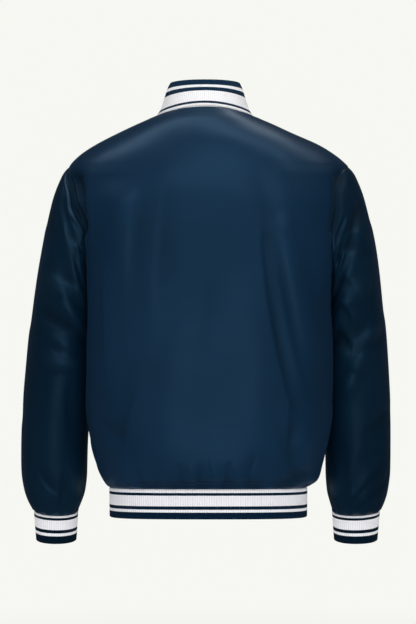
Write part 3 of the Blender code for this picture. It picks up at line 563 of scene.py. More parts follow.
def runAlong(grid, axis):
    steps = np.linalg.norm(np.diff(grid, axis=axis), axis=-1)
    start = np.zeros_like(np.take(steps, [0], axis=axis))
    return np.concatenate([start, np.cumsum(steps, axis=axis)], axis=axis)


# Triangles between two rows of points, which may differ in count, across the shorter diagonals
def zipRows(points, faces, a, b, closed):
    lastA = len(a) if closed else len(a) - 1
    lastB = len(b) if closed else len(b) - 1
    i = j = 0
    while i < lastA or j < lastB:
        hereA, hereB = a[i % len(a)], b[j % len(b)]
        nextA, nextB = a[(i + 1) % len(a)], b[(j + 1) % len(b)]
        reachA = np.linalg.norm(points[nextA] - points[hereB])
        reachB = np.linalg.norm(points[nextB] - points[hereA])
        if j == lastB or (i < lastA and reachA < reachB):
            faces.append((hereA, nextA, hereB))
            i += 1
        else:
            faces.append((hereA, nextB, hereB))
            j += 1


# Quads between the points of a grid. A closed one joins its last column to its first, a looped one its rows.
def gridFaces(shape, first=0, closed=False, looped=False):
    rows, columns = shape
    r, c = np.meshgrid(np.arange(rows - (not looped)), np.arange(columns - (not closed)), indexing="ij")
    under, right = (r + 1) % rows, (c + 1) % columns
    quads = np.stack([r * columns + c, under * columns + c, under * columns + right, r * columns + right], -1)
    return (quads.reshape(-1, 4) + first).tolist()


def newMesh(name, points, faces):
    mesh = bpy.data.meshes.new(name)
    mesh.from_pydata(points.tolist(), [], faces)
    mesh.validate()
    work = bmesh.new()
    work.from_mesh(mesh)
    bmesh.ops.recalc_face_normals(work, faces=work.faces)
    work.to_mesh(mesh)
    work.free()
    mesh.shade_smooth()
    return mesh


def linked(name, data):
    piece = bpy.data.objects.new(name, data)
    bpy.context.scene.collection.objects.link(piece)
    return piece


def carry(mesh, label, values, kind="FLOAT"):
    attribute = mesh.attributes.new(label, kind, "POINT")
    attribute.data.foreach_set("value" if kind == "FLOAT" else "vector", values.ravel())


def readAll(items, label):
    values = np.zeros(len(items), int)
    items.foreach_get(label, values)
    return values


# A closed cloth wall between an outer and an inner grid of points. The UV map holds metres of cloth, and
# the fold attribute is -1 deep in a crease and 1 on a ridge.
def makeWall(name, outer, inner, closed, material, folds):
    points = np.concatenate([outer.reshape(-1, 3), inner.reshape(-1, 3)])
    outerIndex = np.arange(outer.shape[0] * outer.shape[1]).reshape(outer.shape[:2])
    innerIndex = np.arange(outerIndex.size, len(points)).reshape(inner.shape[:2])
    faces = gridFaces(outerIndex.shape, 0, closed) + gridFaces(innerIndex.shape, outerIndex.size, closed)
    for end in (0, -1):
        zipRows(points, faces, outerIndex[end], innerIndex[end], closed)
        if not closed:
            zipRows(points, faces, outerIndex[:, end], innerIndex[:, end], False)
    mesh = newMesh(name, points, faces)
    places = []
    for grid in (outer, inner):
        u = np.median(runAlong(grid, 1), axis=0)[None, :] + np.zeros(grid.shape[:2])
        v = np.median(runAlong(grid, 0), axis=1)[:, None] + np.zeros(grid.shape[:2])
        places.append(np.stack([u, v], -1).reshape(-1, 2))
    corners = readAll(mesh.loops, "vertex_index")
    mesh.uv_layers.new(name="cloth").data.foreach_set("uv", np.concatenate(places)[corners].ravel())
    # This shading of the folds paints shade into the satin's creases and a highlight on its ridges
    shading = np.tanh(folds.ravel() / cloth["foldDepth"])
    carry(mesh, "fold", np.concatenate([shading, np.zeros(innerIndex.size)]))
    mesh.set_sharp_from_angle(angle=math.radians(cloth["sharpAngle"]))
    mesh.materials.append(material)
    return linked(name, mesh)


# How far a point at these distances from its seams rolls down into them, as a share of the full depth
def rollShare(*distances):
    flat = 1
    for distance in distances:
        flat = flat * (1 - np.maximum(0, 1 - distance / cloth["rollReach"]) ** 2)
    return 1 - flat


# The way in which it rolls, at this distance from the seam of the armhole
def rollWay(normals, roll, distance):
    near = np.maximum(0, 1 - distance / cloth["rollReach"])[..., None]
    meets = np.linalg.norm(roll, axis=-1, keepdims=True)
    return unit(normals * (1 - near) + roll * near + 1e-9) * (1 - near + near * meets)


# Every step-th of this many rows, with the first and the last
def someOf(count, step):
    return np.r_[0, np.arange(step + 3, count - step - 2, step), count - 1]


panels = {
    "shoulderRows": 52,
    "armholeRows": 73,
    "waistRows": 84,
    "hemRows": 17,
    "neckSteps": (0.0005, 0.0010, 0.0018, 0.0028),
    "waistEnd": -0.590,
    "hemSteps": 0.0060,
    "backColumns": 220,
    "frontColumns": 112,
    "innerStep": 3,
}


# The level of each row of a body panel, and its turn round the armhole or nan
def bodyRows():
    gap = cloth["seamGap"] / 2
    *neckSteps, shoulderStart = panels["neckSteps"]
    turns = np.linspace(0, math.pi, panels["armholeRows"])
    above = np.concatenate([
        neckLevel - np.array([gap, *neckSteps]),
        np.linspace(neckLevel - shoulderStart, armhole["top"], panels["shoulderRows"])[:-1]])
    below = np.concatenate([
        np.linspace(armhole["bottom"], panels["waistEnd"], panels["waistRows"])[1:],
        np.linspace(panels["waistEnd"], hemLevel + panels["hemSteps"], panels["hemRows"])[1:],
        hemLevel + np.array([*cloth["edgeColumns"][:0:-1], gap])])
    levels = np.concatenate([above, armholePlace(leftArm, turns)[0], below])
    return levels, np.concatenate([np.full_like(above, np.nan), turns, np.full_like(below, np.nan)])


def sideEnd(arm, turns, back):
    angle = armholePlace(arm, np.nan_to_num(turns) * (1 if back else -1))[1]
    return np.where(np.isnan(turns), 0.0 if arm.side > 0 else math.pi, angle)


def lapEnd(arm, levels):
    angle = angleAtFront(bodyProfile.read(levels), -arm.side * cloth["lapHalf"])
    return angle if arm.side > 0 else 2 * math.pi + angle


# One panel of the body. arms has the sleeve at each of its two ends, or None where it ends in the front lap,
# and under is how far its lap lies below the other one.
def makePanel(name, arms, columns, material, under=0.0):
    levels, turns = bodyRows()
    inArmhole = ~np.isnan(turns)
    back = arms[1] is not None
    starts, stops = (sideEnd(arm, turns, back) if arm else lapEnd(arms[0], levels) for arm in arms)
    angles = np.array([
        anglesAlong(lambda angle: bodyForm(np.full_like(angle, level), angle), start, stop, columns)
        for level, start, stop in zip(levels, starts, stops)])
    level = levels[:, None] + np.zeros_like(angles)
    points = bodySurface(level, angles)
    normals = outward(bodySurface, level, angles, probe["level"])
    normals[-1] = outward(hemBandSurface, np.zeros(columns), angles[-1], -probe["share"])
    if under:
        lapped = ramp(points[..., 0] - bodyProfile.read(level).middleX, *cloth["lapRamp"])
        points = points - normals * (under * lapped)[..., None]
    across, down = runAlong(points, 1), runAlong(points, 0)
    fromSides = across, across[:, -1:] - across
    share = rollShare(*fromSides, down, down[-1:] - down)[..., None] * cloth["rollDepth"]
    rolled = points - normals * share
    inner = points - normals * cloth["satinWall"]
    for column, arm in zip((0, -1), arms):
        inward = unit(points[:, 1 if column == 0 else -2] - points[:, column]) * cloth["seamGap"] / 2
        rolled[:, column] += inward
        inner[:, column] += inward
        if arm is None:
            continue
        seam = armholeSeam(arm, turns[inArmhole] * (1 if back else -1))
        edge = points[inArmhole, column] - seam.across * cloth["seamGap"] / 2
        inner[inArmhole, column] = edge - seam.bodyEnd * cloth["satinWall"]
        for k in range(len(cloth["edgeColumns"])):
            here = column + k if column == 0 else column - k
            away = rollWay(normals[inArmhole, here], seam.roll, fromSides[column][inArmhole, here])
            start = points[inArmhole, here] if k else edge
            rolled[inArmhole, here] = start - away * share[inArmhole, here]
    rows, cols = (someOf(count, panels["innerStep"]) for count in points.shape[:2])
    folds = bodyFolds(level, angles, True) + hemPucker(level, angles)
    piece = makeWall(name, rolled, inner[np.ix_(rows, cols)], False, material, folds)
    return piece, (rolled, normals, inArmhole)


def makeSleeve(name, arm, material):
    stations = np.concatenate(sleeve["rows"])
    turns = np.linspace(0, 2 * math.pi, sleeve["sides"], endpoint=False)
    station, turn = np.meshgrid(stations, turns, indexing="ij")
    points = sleeveSurface(arm, station, turn)
    normals = outward(partial(sleeveSurface, arm), station, turn, probe["station"], arm.side)
    normals[-1] = outward(partial(cuffSurface, arm), np.zeros_like(turns), turns, -probe["share"], arm.side)
    seam = armholeSeam(arm, turns)
    inner = points - normals * cloth["satinWall"]
    points[0] += seam.across * cloth["seamGap"] / 2
    inner[0] = points[0] - seam.sleeveEnd * cloth["satinWall"]
    points[-1] += unit(points[-2] - points[-1]) * cloth["seamGap"] / 2
    down = runAlong(points, 0)
    share = rollShare(down, down[-1:] - down)[..., None] * cloth["rollDepth"]
    rolled = points - rollWay(normals, seam.roll, down) * share
    # Painted shade: the body's creases at the armhole also darken the sleeve beside the seam
    shadeBesideSeam = bodyFolds(*armholePlace(arm, turn), True) * smooth(1 - station / sleeve["clearOfSeam"])
    folds = sleeveFolds(arm, station, turn, True) + cuffPucker(station, turn) + shadeBesideSeam
    inner = inner[someOf(len(stations), sleeve["innerStep"])][:, ::sleeve["innerSides"]]
    return makeWall(name, rolled, inner, True, material, folds)


def ringSurface(profile, seamLevel, edgeLevel):
    return lambda share, angle: ringPoint(profile.read(seamLevel + (edgeLevel - seamLevel) * share), angle)


collarSurface = ringSurface(collarProfile, *collarProfile.at[[0, -1]])
hemBandSurface = ringSurface(hemBandProfile, *hemBandProfile.at[[-1, 0]])


def cuffSurface(arm, share, turn):
    return hung(sleeveRingPoint(cuffProfile.read(share), turn), arm, hanging["last"])


# A folded rib-knit band: out from its seam, over its free edge and back up inside, one closed loop in
# section. The ribs are raised later, from the attributes that it carries.
rib = {
    "pitch": 0.0040,
    "height": 0.0007,
    "sharpness": 0.7,
    "pointsPerRib": 8,
    "outerRows": 18,
    "foldRows": 7,
    "innerRows": 5,
    "seamSamples": 4000,
    "seamFade": 0.06,        # the share of the band over which a rib rises from the seam
    "lowAtSeam": 0.6,
    "endFade": 0.002,
    "collarCorner": 0.010,
    "collarEnd": 0.0015,
}


def makeBand(name, surface, start, end, material, up, side=1, corner=0.0, under=0.0):
    closed = abs(end - start - 2 * math.pi) < 0.01
    fine = np.linspace(start, end, rib["seamSamples"])
    run = runAlong(surface(np.zeros_like(fine), fine), 0)
    ribCount = round(run[-1] / rib["pitch"])
    marks = np.linspace(0, run[-1], rib["pointsPerRib"] * ribCount + 1)[: -1 if closed else None]
    angles = np.interp(marks, run, fine)
    away = np.minimum(marks, run[-1] - marks)
    seamLine, edgeLine = (surface(np.full_like(angles, share), angles) for share in (0, 1))
    heights = np.linalg.norm(edgeLine - seamLine, axis=1)
    radius = cloth["ribWall"] / 2
    dropped = corner - np.sqrt(np.maximum(0, corner**2 - np.maximum(0, corner - away) ** 2))
    reach = 1 - dropped / heights - radius / heights

    outerShare = np.linspace(0, 1, rib["outerRows"])
    innerShare = np.linspace(1, 0, rib["innerRows"])
    foldTurn = np.linspace(0, math.pi, rib["foldRows"] + 2)[1:-1]
    shares = np.concatenate([outerShare, np.ones(rib["foldRows"]), innerShare])[:, None] * reach
    turns = np.concatenate([np.zeros(rib["outerRows"]), foldTurn, np.full(rib["innerRows"], math.pi)])[:, None]
    angle = angles + np.zeros_like(shares)
    points = surface(shares, angle)
    normals = outward(surface, shares, angle, up, side)
    downward = unit(surface(shares + probe["share"], angle) - surface(shares - probe["share"], angle))
    points = points + (normals * (np.cos(turns) - 1)[..., None] + downward * np.sin(turns)[..., None]) * radius
    if under:
        lapped = ramp(points[..., 0] - hemRing.middleX, *cloth["lapRamp"]) * (angle > math.pi)
        points = points - normals * (under * lapped)[..., None]

    faces = gridFaces(shares.shape, 0, closed, True)
    flat = points.reshape(-1, 3)
    if not closed:
        index = np.arange(shares.size).reshape(shares.shape)
        half = rib["outerRows"] + rib["foldRows"] // 2
        for column in (0, -1):
            zipRows(flat, faces, index[:half + 1, column], index[half:, column][::-1], False)
    mesh = newMesh(name, flat, faces)
    outside = np.clip(np.cos(turns), 0, 1) * smooth(away / rib["endFade"] + closed)
    carry(mesh, "outerSide", outside * (1 - rib["lowAtSeam"] * (1 - smooth(shares / rib["seamFade"]))))
    carry(mesh, "ribPhase", marks / run[-1] * ribCount + np.zeros_like(shares))
    v = shares / reach * (heights.mean() - radius) + np.sin(turns) * radius
    places = np.stack([marks + np.zeros_like(shares), v], -1).reshape(-1, 2)
    places = places[readAll(mesh.loops, "vertex_index")]
    if closed:
        sizes = readAll(mesh.polygons, "loop_total")
        face = np.repeat(np.arange(len(sizes)), sizes)
        farthest = np.zeros(len(sizes))
        np.maximum.at(farthest, face, places[:, 0])
        places[:, 0] += np.where((farthest[face] - places[:, 0]) > run[-1] / 2, run[-1], 0)
    mesh.uv_layers.new(name="cloth").data.foreach_set("uv", places.ravel())
    mesh.materials.append(material)
    return raiseRibs(linked(name, mesh), material)


def operator(kind, reflected=False):
    def act(self, other):
        return self.maths(kind, other, self) if reflected else self.maths(kind, self, other)
    return act


# Wraps a node's output, so that Python's own operators add the nodes of the maths
class Wire:
    def __init__(self, net, socket):
        self.net, self.socket = net, socket

    def maths(self, kind, first, second=0.0):
        return self.net.node("ShaderNodeMath", {"operation": kind}, {0: first, 1: second})

    __add__, __radd__ = operator("ADD"), operator("ADD", True)
    __sub__, __rsub__ = operator("SUBTRACT"), operator("SUBTRACT", True)
    __mul__, __rmul__ = operator("MULTIPLY"), operator("MULTIPLY", True)
    __pow__ = operator("POWER")

    def __abs__(self):
        return self.maths("ABSOLUTE", self)

    def sine(self):
        return self.maths("SINE", self)

    def fraction(self):
        return self.maths("FRACT", self)

    def between(self, low, high):
        return self.net.node("ShaderNodeMapRange", {"interpolation_type": "SMOOTHSTEP"},
                             {"Value": self, "From Min": low, "From Max": high})


class Net:
    def __init__(self, tree):
        self.tree = tree

    def node(self, kind, settings=None, inputs=None, output=0):
        made = self.tree.nodes.new(kind)
        for name, value in (settings or {}).items():
            if name == "stops":
                ramp = made.color_ramp
                while len(ramp.elements) < len(value):
                    ramp.elements.new(1.0)
                for element, (place, colour) in zip(ramp.elements, value):
                    element.position, element.color = place, (*colour, 1)
            elif name == "steps":
                made.color_ramp.interpolation = value
            else:
                setattr(made, name, value)
        for name, value in (inputs or {}).items():
            if isinstance(value, Wire):
                self.tree.links.new(value.socket, made.inputs[name])
            else:
                made.inputs[name].default_value = value
        return Wire(self, made.outputs[output])

    def mix(self, factor, first, second, how="MIX"):
        return self.node("ShaderNodeMix", {"data_type": "RGBA", "blend_type": how},
                         {0: factor, 6: first, 7: second}, 2)

    def noise(self, vector, scale, detail=2.0):
        return self.node("ShaderNodeTexNoise", {}, {"Vector": vector, "Scale": scale, "Detail": detail})

    def stretched(self, vector, x, y):
        return self.node("ShaderNodeMapping", {}, {"Vector": vector, "Scale": (x, y, 1)})

    def coordinates(self, kind="Object"):
        return self.node("ShaderNodeTexCoord", output=kind)

    def bump(self, height, strength, distance):
        return self.node("ShaderNodeBump", {}, {"Height": height, "Strength": strength, "Distance": distance})


def newMaterial(name, **uniform):
    material = bpy.data.materials.new(name)
    material.use_nodes = True
    net = Net(material.node_tree)
    shader = material.node_tree.nodes["Principled BSDF"]
    for label, value in uniform.items():
        shader.inputs[label.replace("_", " ")].default_value = value
    return material, net, shader


def feed(net, shader, **wires):
    for label, wire in wires.items():
        net.tree.links.new(wire.socket, shader.inputs[label.replace("_", " ")])


satinLook = {
    "body": {"navy": (0.0040, 0.0190, 0.0470, 1), "deepNavy": (0.0030, 0.0150, 0.0370, 1),
             "gloss": 0.30, "shadeInCrease": 0.52},
    # The sleeves' tones are the body's navy satin darkened: painted shade for the shade that the sleeves hang
    # in
    "sleeve": {"navy": (0.0018, 0.0115, 0.0265, 1), "deepNavy": (0.0012, 0.0085, 0.0205, 1),
               "gloss": 0.36, "shadeInCrease": 0.74},
    # A lighter navy: the tone of random slubs in the weave, and a painted highlight on the ridges of folds
    "worn": (0.0120, 0.0420, 0.0820, 1),
    "shadow": (0.0004, 0.0040, 0.0105, 1),
    "paintedHighlightOnRidge": 0.13,
    "rough": (0.32, 0.42),
    "roughInCrease": 0.40,
    "threadWidth": 0.0006,
    "threadLength": 0.0040,
    "slubs": (30, 420),      # to a metre along and across
}


def satinMaterial(name, tones):
    material, net, shader = newMaterial(
        name, Sheen_Weight=0.02, Sheen_Roughness=0.5, Sheen_Tint=(0.30, 0.55, 0.95, 1),
        Specular_IOR_Level=tones["gloss"], Specular_Tint=(0.26, 0.62, 1.0, 1))
    flat = net.coordinates("UV")
    cloud = net.noise(net.coordinates(), 5.0, 3.0)
    threads = net.stretched(flat, 1 / satinLook["threadLength"], 1 / satinLook["threadWidth"])
    grain = net.noise(threads, 1.0, 1.0)
    slub = net.noise(net.stretched(flat, *satinLook["slubs"]), 1.0)
    fold = net.node("ShaderNodeAttribute", {"attribute_name": "fold"}, output="Fac")
    hollow = -1 * fold
    colour = net.mix(cloud.between(0.3, 0.7), tones["navy"], tones["deepNavy"])
    colour = net.mix(slub.between(0.60, 0.85) * 0.25, colour, satinLook["worn"])
    # Painted shade: deep in creases and hollows the satin is darkened toward the shadow tone
    colour = net.mix(hollow.between(0.05, 1.0) * tones["shadeInCrease"], colour, satinLook["shadow"])
    # Painted highlight: the ridges of folds are lightened, as if they caught the light
    colour = net.mix(fold.between(0.10, 1.0) * satinLook["paintedHighlightOnRidge"], colour, satinLook["worn"])
    low, high = satinLook["rough"]
    rough = low + (high - low) * (0.6 * cloud + 0.4 * grain)
    rough = rough + hollow.between(0.2, 1.0) * satinLook["roughInCrease"]
    feed(net, shader, Base_Color=colour, Roughness=rough,
         Normal=net.bump(grain * 0.6 + slub * 0.4, 0.16, 0.0004))
    return material


# Each band's two tones in turn, the height of its stripes, and where each starts as a share of it from the seam
ribLook = {
    "white": (0.900, 0.890, 0.945),
    # The collar's white and navy are the knit's own tones lightened: painted light for the light that falls on
    # the collar from above
    "whiteWithPaintedLight": (0.985, 0.975, 1.000),
    "navy": (0.0020, 0.0118, 0.0310),
    "navyWithPaintedLight": (0.0048, 0.0230, 0.0540),
    # The cuffs' navy is the knit's navy darkened: painted shade for the shade that the cuffs hang in
    "deepNavy": (0.0009, 0.0068, 0.0170),
    "collar": (("whiteWithPaintedLight", "navyWithPaintedLight"), 0.0475, (0, 0.080, 0.179, 0.602, 0.771, 0.889)),
    "hem": (("white", "navy"), 0.0497, (0, 0.110, 0.204, 0.560, 0.674, 0.768)),
    "cuff": (("white", "deepNavy"), 0.0510, (0, 0.060, 0.152, 0.490, 0.607, 0.708)),
    "stitchHeight": 0.0017,
    "unevenEdge": 0.0004,
}


def ribMaterial(band):
    material, net, shader = newMaterial(
        band + " rib", Sheen_Weight=0.02, Sheen_Roughness=0.6, Sheen_Tint=(0.35, 0.60, 1.0, 1),
        Specular_IOR_Level=0.12, Specular_Tint=(0.40, 0.65, 1.0, 1))
    u, v = (net.node("ShaderNodeSeparateXYZ", {}, {0: net.coordinates("UV")}, k) for k in (0, 1))
    fuzz, cloud = (net.noise(net.coordinates(), scale) for scale in (900.0, 14.0))
    fromRidge = abs((u * (1 / rib["pitch"])).fraction() - 0.5)
    stitches = ((v * (1 / ribLook["stitchHeight"]) + fromRidge * 1.3) * 2 * math.pi).sine() * 0.5 + 0.5
    tones, height, starts = ribLook[band]
    place = (v + (fuzz - 0.5) * ribLook["unevenEdge"]) * (1 / height)
    stops = [(start, ribLook[tones[k % 2]]) for k, start in enumerate(starts)]
    stripes = net.node("ShaderNodeValToRGB", {"steps": "CONSTANT", "stops": stops}, {0: place})
    # Painted shade: the valleys between ribs and the low parts of each stitch are darkened; the cloud is random
    # tone
    valleyShade = 1 - fromRidge.between(0.30, 0.5) * 0.22
    shade = (0.90 + 0.10 * stitches) * valleyShade * (0.94 + 0.12 * cloud)
    grey = net.node("ShaderNodeCombineColor", {}, {0: shade, 1: shade, 2: shade})
    feed(net, shader, Base_Color=net.mix(1.0, stripes, grey, "MULTIPLY"), Roughness=0.78 + 0.14 * fuzz,
         Normal=net.bump(stitches * 0.7 + fuzz * 0.5, 0.5, 0.0005))
    return material


def newGeometryTree(name, **inputs):
    tree = bpy.data.node_groups.new(name, "GeometryNodeTree")
    for label, kind in {"Geometry": "Geometry", **inputs}.items():
        tree.interface.new_socket(label.replace("_", " "), in_out="INPUT", socket_type="NodeSocket" + kind)
    tree.interface.new_socket("Geometry", in_out="OUTPUT", socket_type="NodeSocketGeometry")
    net = Net(tree)
    entry = tree.nodes.new("NodeGroupInput")
    return tree, net, {socket.name: Wire(net, socket) for socket in entry.outputs if socket.name}


# Ends a tree in real geometry with its material
def closeTree(tree, net, geometry, material):
    real = net.node("GeometryNodeRealizeInstances", {}, {0: geometry})
    finished = net.node("GeometryNodeSetMaterial", {}, {"Geometry": real, "Material": material})
    tree.links.new(finished.socket, tree.nodes.new("NodeGroupOutput").inputs[0])
    return tree


# Runs a tree on an object with its inputs' values, and keeps the result as a plain mesh
def bakeTree(piece, tree, values):
    modifier = piece.modifiers.new(tree.name, "NODES")
    modifier.node_group = tree
    for socket in tree.interface.items_tree:
        if socket.item_type == "SOCKET" and socket.in_out == "INPUT" and socket.name in values:
            modifier[socket.identifier] = values[socket.name]
    view = bpy.context.evaluated_depsgraph_get()
    mesh = bpy.data.meshes.new_from_object(piece.evaluated_get(view), depsgraph=view)
    piece.modifiers.clear()
    piece.data = mesh
    mesh.name = piece.name
    return piece


def named(net, label, kind="FLOAT"):
    return net.node("GeometryNodeInputNamedAttribute", {"data_type": kind}, {"Name": label})


def ribTree():
    tree, net, entry = newGeometryTree(
        "raised ribs", Rib_Height="Float", Rib_Sharpness="Float", Material="Material")
    wave = abs((named(net, "ribPhase") * math.pi).sine()) ** entry["Rib Sharpness"]
    raised = wave * named(net, "outerSide") * entry["Rib Height"]
    offset = net.node("ShaderNodeVectorMath", {"operation": "SCALE"},
                      {0: net.node("GeometryNodeInputNormal"), "Scale": raised})
    moved = net.node("GeometryNodeSetPosition", {}, {"Geometry": entry["Geometry"], "Offset": offset})
    return closeTree(tree, net, moved, entry["Material"])


ribs = ribTree()


def raiseRibs(piece, material):
    return bakeTree(piece, ribs, {"Rib Height": rib["height"], "Rib Sharpness": rib["sharpness"],
                                  "Material": material})


# The angles at which a band starts and ends, this far to the left and the right of the middle of the front
def frontEnds(ring, left):
    return angleAtFront(ring, left), 2 * math.pi + angleAtFront(ring, -left)


print("weaving the satin body")
satin = satinMaterial("navy satin", satinLook["body"])
# The sleeves get the same satin with darker tones, as painted shade
shadedSleeveSatin = satinMaterial("deep navy satin", satinLook["sleeve"])
back, backGrid = makePanel("back_cloth", (leftArm, rightArm), panels["backColumns"], satin)
frontLeft, leftGrid = makePanel("front_left_cloth", (leftArm, None), panels["frontColumns"], satin)
frontRight, rightGrid = makePanel("front_right_cloth", (rightArm, None), panels["frontColumns"], satin,
                                  under=cloth["satinWall"] + cloth["lapGap"])
print("setting in the sleeves")
sleeveLeft = makeSleeve("sleeve_left_cloth", leftArm, shadedSleeveSatin)
sleeveRight = makeSleeve("sleeve_right_cloth", rightArm, shadedSleeveSatin)

print("knitting the collar, cuffs and hem band")
collar = makeBand("collar_cloth", collarSurface, *frontEnds(collarRing, rib["collarEnd"]),
                  ribMaterial("collar"), probe["share"], corner=rib["collarCorner"])
hemBand = makeBand("hem_band_cloth", hemBandSurface, *frontEnds(hemRing, -cloth["lapHalf"]),
                   ribMaterial("hem"), -probe["share"],
                   under=cloth["ribWall"] + rib["height"] + cloth["lapGap"])
cuffRib = ribMaterial("cuff")
cuffLeft, cuffRight = (
    makeBand(name, partial(cuffSurface, arm), 0, 2 * math.pi, cuffRib, -probe["share"], side=arm.side)
    for name, arm in (("cuff_left_cloth", leftArm), ("cuff_right_cloth", rightArm)))


# Rows of tone-on-tone stitches. Each path is a polyline with the cloth's normals.
sewing = {
    "pitch": 0.0030,
    "length": 0.0023,
    "width": 0.00050,
    "lift": 0.00012,
    "fromSeam": 4,       # columns in from an armhole
    "fromEdge": -7,      # columns in from the front edge
    "fromNeck": 6,       # rows down from the neck
    "fromHem": -7,       # rows up from the hem
    "acrossRow": slice(2, -2),
    "downEdge": slice(6, -6),
    "thread": (0.012, 0.040, 0.082, 1),
}


def stitchTree():
    tree, net, entry = newGeometryTree(
        "row of stitches", Pitch="Float", Stitch_Length="Float", Thread_Width="Float", Material="Material")
    path = net.node("GeometryNodeMeshToCurve", {}, {0: entry["Geometry"]})
    evened = net.node("GeometryNodeResampleCurve", {"mode": "LENGTH"},
                      {"Curve": path, "Length": entry["Pitch"]})
    bead = net.node("GeometryNodeMeshUVSphere", {}, {"Segments": 6, "Rings": 4, "Radius": 0.5})
    along = net.node("FunctionNodeAlignRotationToVector", {"axis": "Z"},
                     {"Vector": net.node("GeometryNodeInputTangent")})
    size = net.node("ShaderNodeCombineXYZ", {}, dict(enumerate(
        (entry["Thread Width"], entry["Thread Width"], entry["Stitch Length"]))))
    placed = net.node("GeometryNodeInstanceOnPoints", {},
                      {"Points": evened, "Instance": bead, "Rotation": along, "Scale": size})
    return closeTree(tree, net, placed, entry["Material"])


def sewRows(name, paths, material):
    points, edges = [], []
    for path in paths:
        edges += [(len(points) + i, len(points) + i + 1) for i in range(len(path) - 1)]
        points += path.tolist()
    mesh = bpy.data.meshes.new(name)
    mesh.from_pydata(points, edges, [])
    return bakeTree(linked(name, mesh), stitchTree(), {
        "Pitch": sewing["pitch"], "Stitch Length": sewing["length"], "Thread Width": sewing["width"],
        "Material": material})


def gridPath(grid, rows, column):
    points, normals, _ = grid
    return points[rows, column] + normals[rows, column] * sewing["lift"]


print("sewing the seams")
thread, net, shader = newMaterial("navy thread", Base_Color=sewing["thread"], Roughness=0.5)
feed(net, shader, Normal=net.bump(net.noise(net.coordinates(), 2500.0), 0.4, 0.0002))
seamPaths = []
for grid, sides in ((backGrid, 2), (leftGrid, 1), (rightGrid, 1)):
    columns = (sewing["fromSeam"], -1 - sewing["fromSeam"])[:sides]
    seamPaths += [gridPath(grid, np.where(grid[2])[0], column) for column in columns]
    seamPaths += [gridPath(grid, row, sewing["acrossRow"]) for row in (sewing["fromNeck"], sewing["fromHem"])]
seamPaths.append(gridPath(leftGrid, sewing["downEdge"], sewing["fromEdge"]))
stitches = sewRows("seam_stitches", seamPaths, thread)

# Snap fasteners down the front, each an enamelled cap in a steel rim
snaps = {
    "radius": 0.0075,
    "height": 0.0030,
    "rim": 0.0011,
    "top": -0.080,
    "spacing": 0.0865,
    "onFront": 7,
    "sides": 40,
    "levelSamples": 4000,
    "weld": 0.00002,
    "sharpAngle": 40,
}


def lathed(name, profile):
    mesh = bpy.data.meshes.new(name)
    work = bmesh.new()
    line = [work.verts.new((x, 0, z)) for x, z in profile]
    edges = [work.edges.new(pair) for pair in zip(line, line[1:])]
    bmesh.ops.spin(work, geom=line + edges, cent=(0, 0, 0), axis=(0, 0, 1), angle=2 * math.pi,
                   steps=snaps["sides"], use_duplicate=False)
    bmesh.ops.remove_doubles(work, verts=work.verts, dist=snaps["weld"])
    bmesh.ops.recalc_face_normals(work, faces=work.faces)
    work.to_mesh(mesh)
    work.free()
    mesh.shade_smooth()
    mesh.set_sharp_from_angle(angle=math.radians(snaps["sharpAngle"]))
    return bpy.data.objects.new(name, mesh)


def snapTree():
    tree, net, entry = newGeometryTree("snaps on the front", Cap="Object", Material="Material")
    rotation = net.node("FunctionNodeAlignRotationToVector", {"axis": "Z"},
                        {"Vector": named(net, "facing", "FLOAT_VECTOR")})
    cap = net.node("GeometryNodeObjectInfo", {}, {"Object": entry["Cap"]}, "Geometry")
    points = net.node("GeometryNodeMeshToPoints", {}, {0: entry["Geometry"]})
    placed = net.node("GeometryNodeInstanceOnPoints", {},
                      {"Points": points, "Instance": cap, "Rotation": rotation})
    return closeTree(tree, net, placed, entry["Material"])


def snapPlaces():
    front = -math.pi / 2
    levels = np.linspace(hemLevel, neckLevel, snaps["levelSamples"])
    heights = snaps["top"] - snaps["spacing"] * np.arange(snaps["onFront"])
    level = np.interp(heights, bodyProfile.read(levels).frontZ, levels)
    angle = np.full_like(level, front)
    normals = outward(bodySurface, level, angle, probe["level"])
    points = bodySurface(level, angle) + normals * cloth["seamGap"]
    share, angle = np.array([0.5]), np.array([front])
    normal = outward(hemBandSurface, share, angle, -probe["share"])
    point = hemBandSurface(share, angle) + normal * (rib["height"] + cloth["seamGap"])
    return np.concatenate([points, point]), np.concatenate([normals, normal])


def setSnaps(name, profile, material, tree):
    points, facing = snapPlaces()
    mesh = bpy.data.meshes.new(name)
    mesh.from_pydata(points.tolist(), [], [])
    carry(mesh, "facing", facing, "FLOAT_VECTOR")
    cap = lathed(name + "_cap", profile)
    piece = bakeTree(linked(name, mesh), tree, {"Cap": cap, "Material": material})
    bpy.data.objects.remove(cap)
    return piece


print("setting the snaps")
enamel, net, shader = newMaterial("white enamel", Roughness=0.22, Coat_Weight=0.6, Coat_Roughness=0.08)
speck = net.noise(net.coordinates(), 160.0, 3.0)
feed(net, shader, Base_Color=net.mix(speck.between(0.55, 0.8), (0.80, 0.80, 0.82, 1), (0.72, 0.72, 0.74, 1)))
steel, net, shader = newMaterial("brushed steel", Base_Color=(0.62, 0.62, 0.64, 1), Metallic=1.0)
feed(net, shader, Roughness=0.24 + 0.16 * net.noise(net.coordinates(), 900.0))
r, h, w = snaps["radius"], snaps["height"], snaps["rim"]
capProfile = [(0, h), (r * 0.30, h * 0.99), (r * 0.55, h * 0.95), (r * 0.72, h * 0.87), (r - w, h * 0.72),
              (r - w, h * 0.3)]
rimProfile = [(r - w * 1.1, h * 0.3), (r - w * 1.05, h * 0.78), (r - w * 0.8, h * 0.88),
              (r - w * 0.4, h * 0.84), (r - w * 0.1, h * 0.62), (r, h * 0.35), (r * 0.98, h * 0.08),
              (r * 0.95, 0), (0, 0)]
snapping = snapTree()
snapCaps = setSnaps("snap_caps", capProfile, enamel, snapping)
snapRims = setSnaps("snap_rims", rimProfile, steel, snapping)


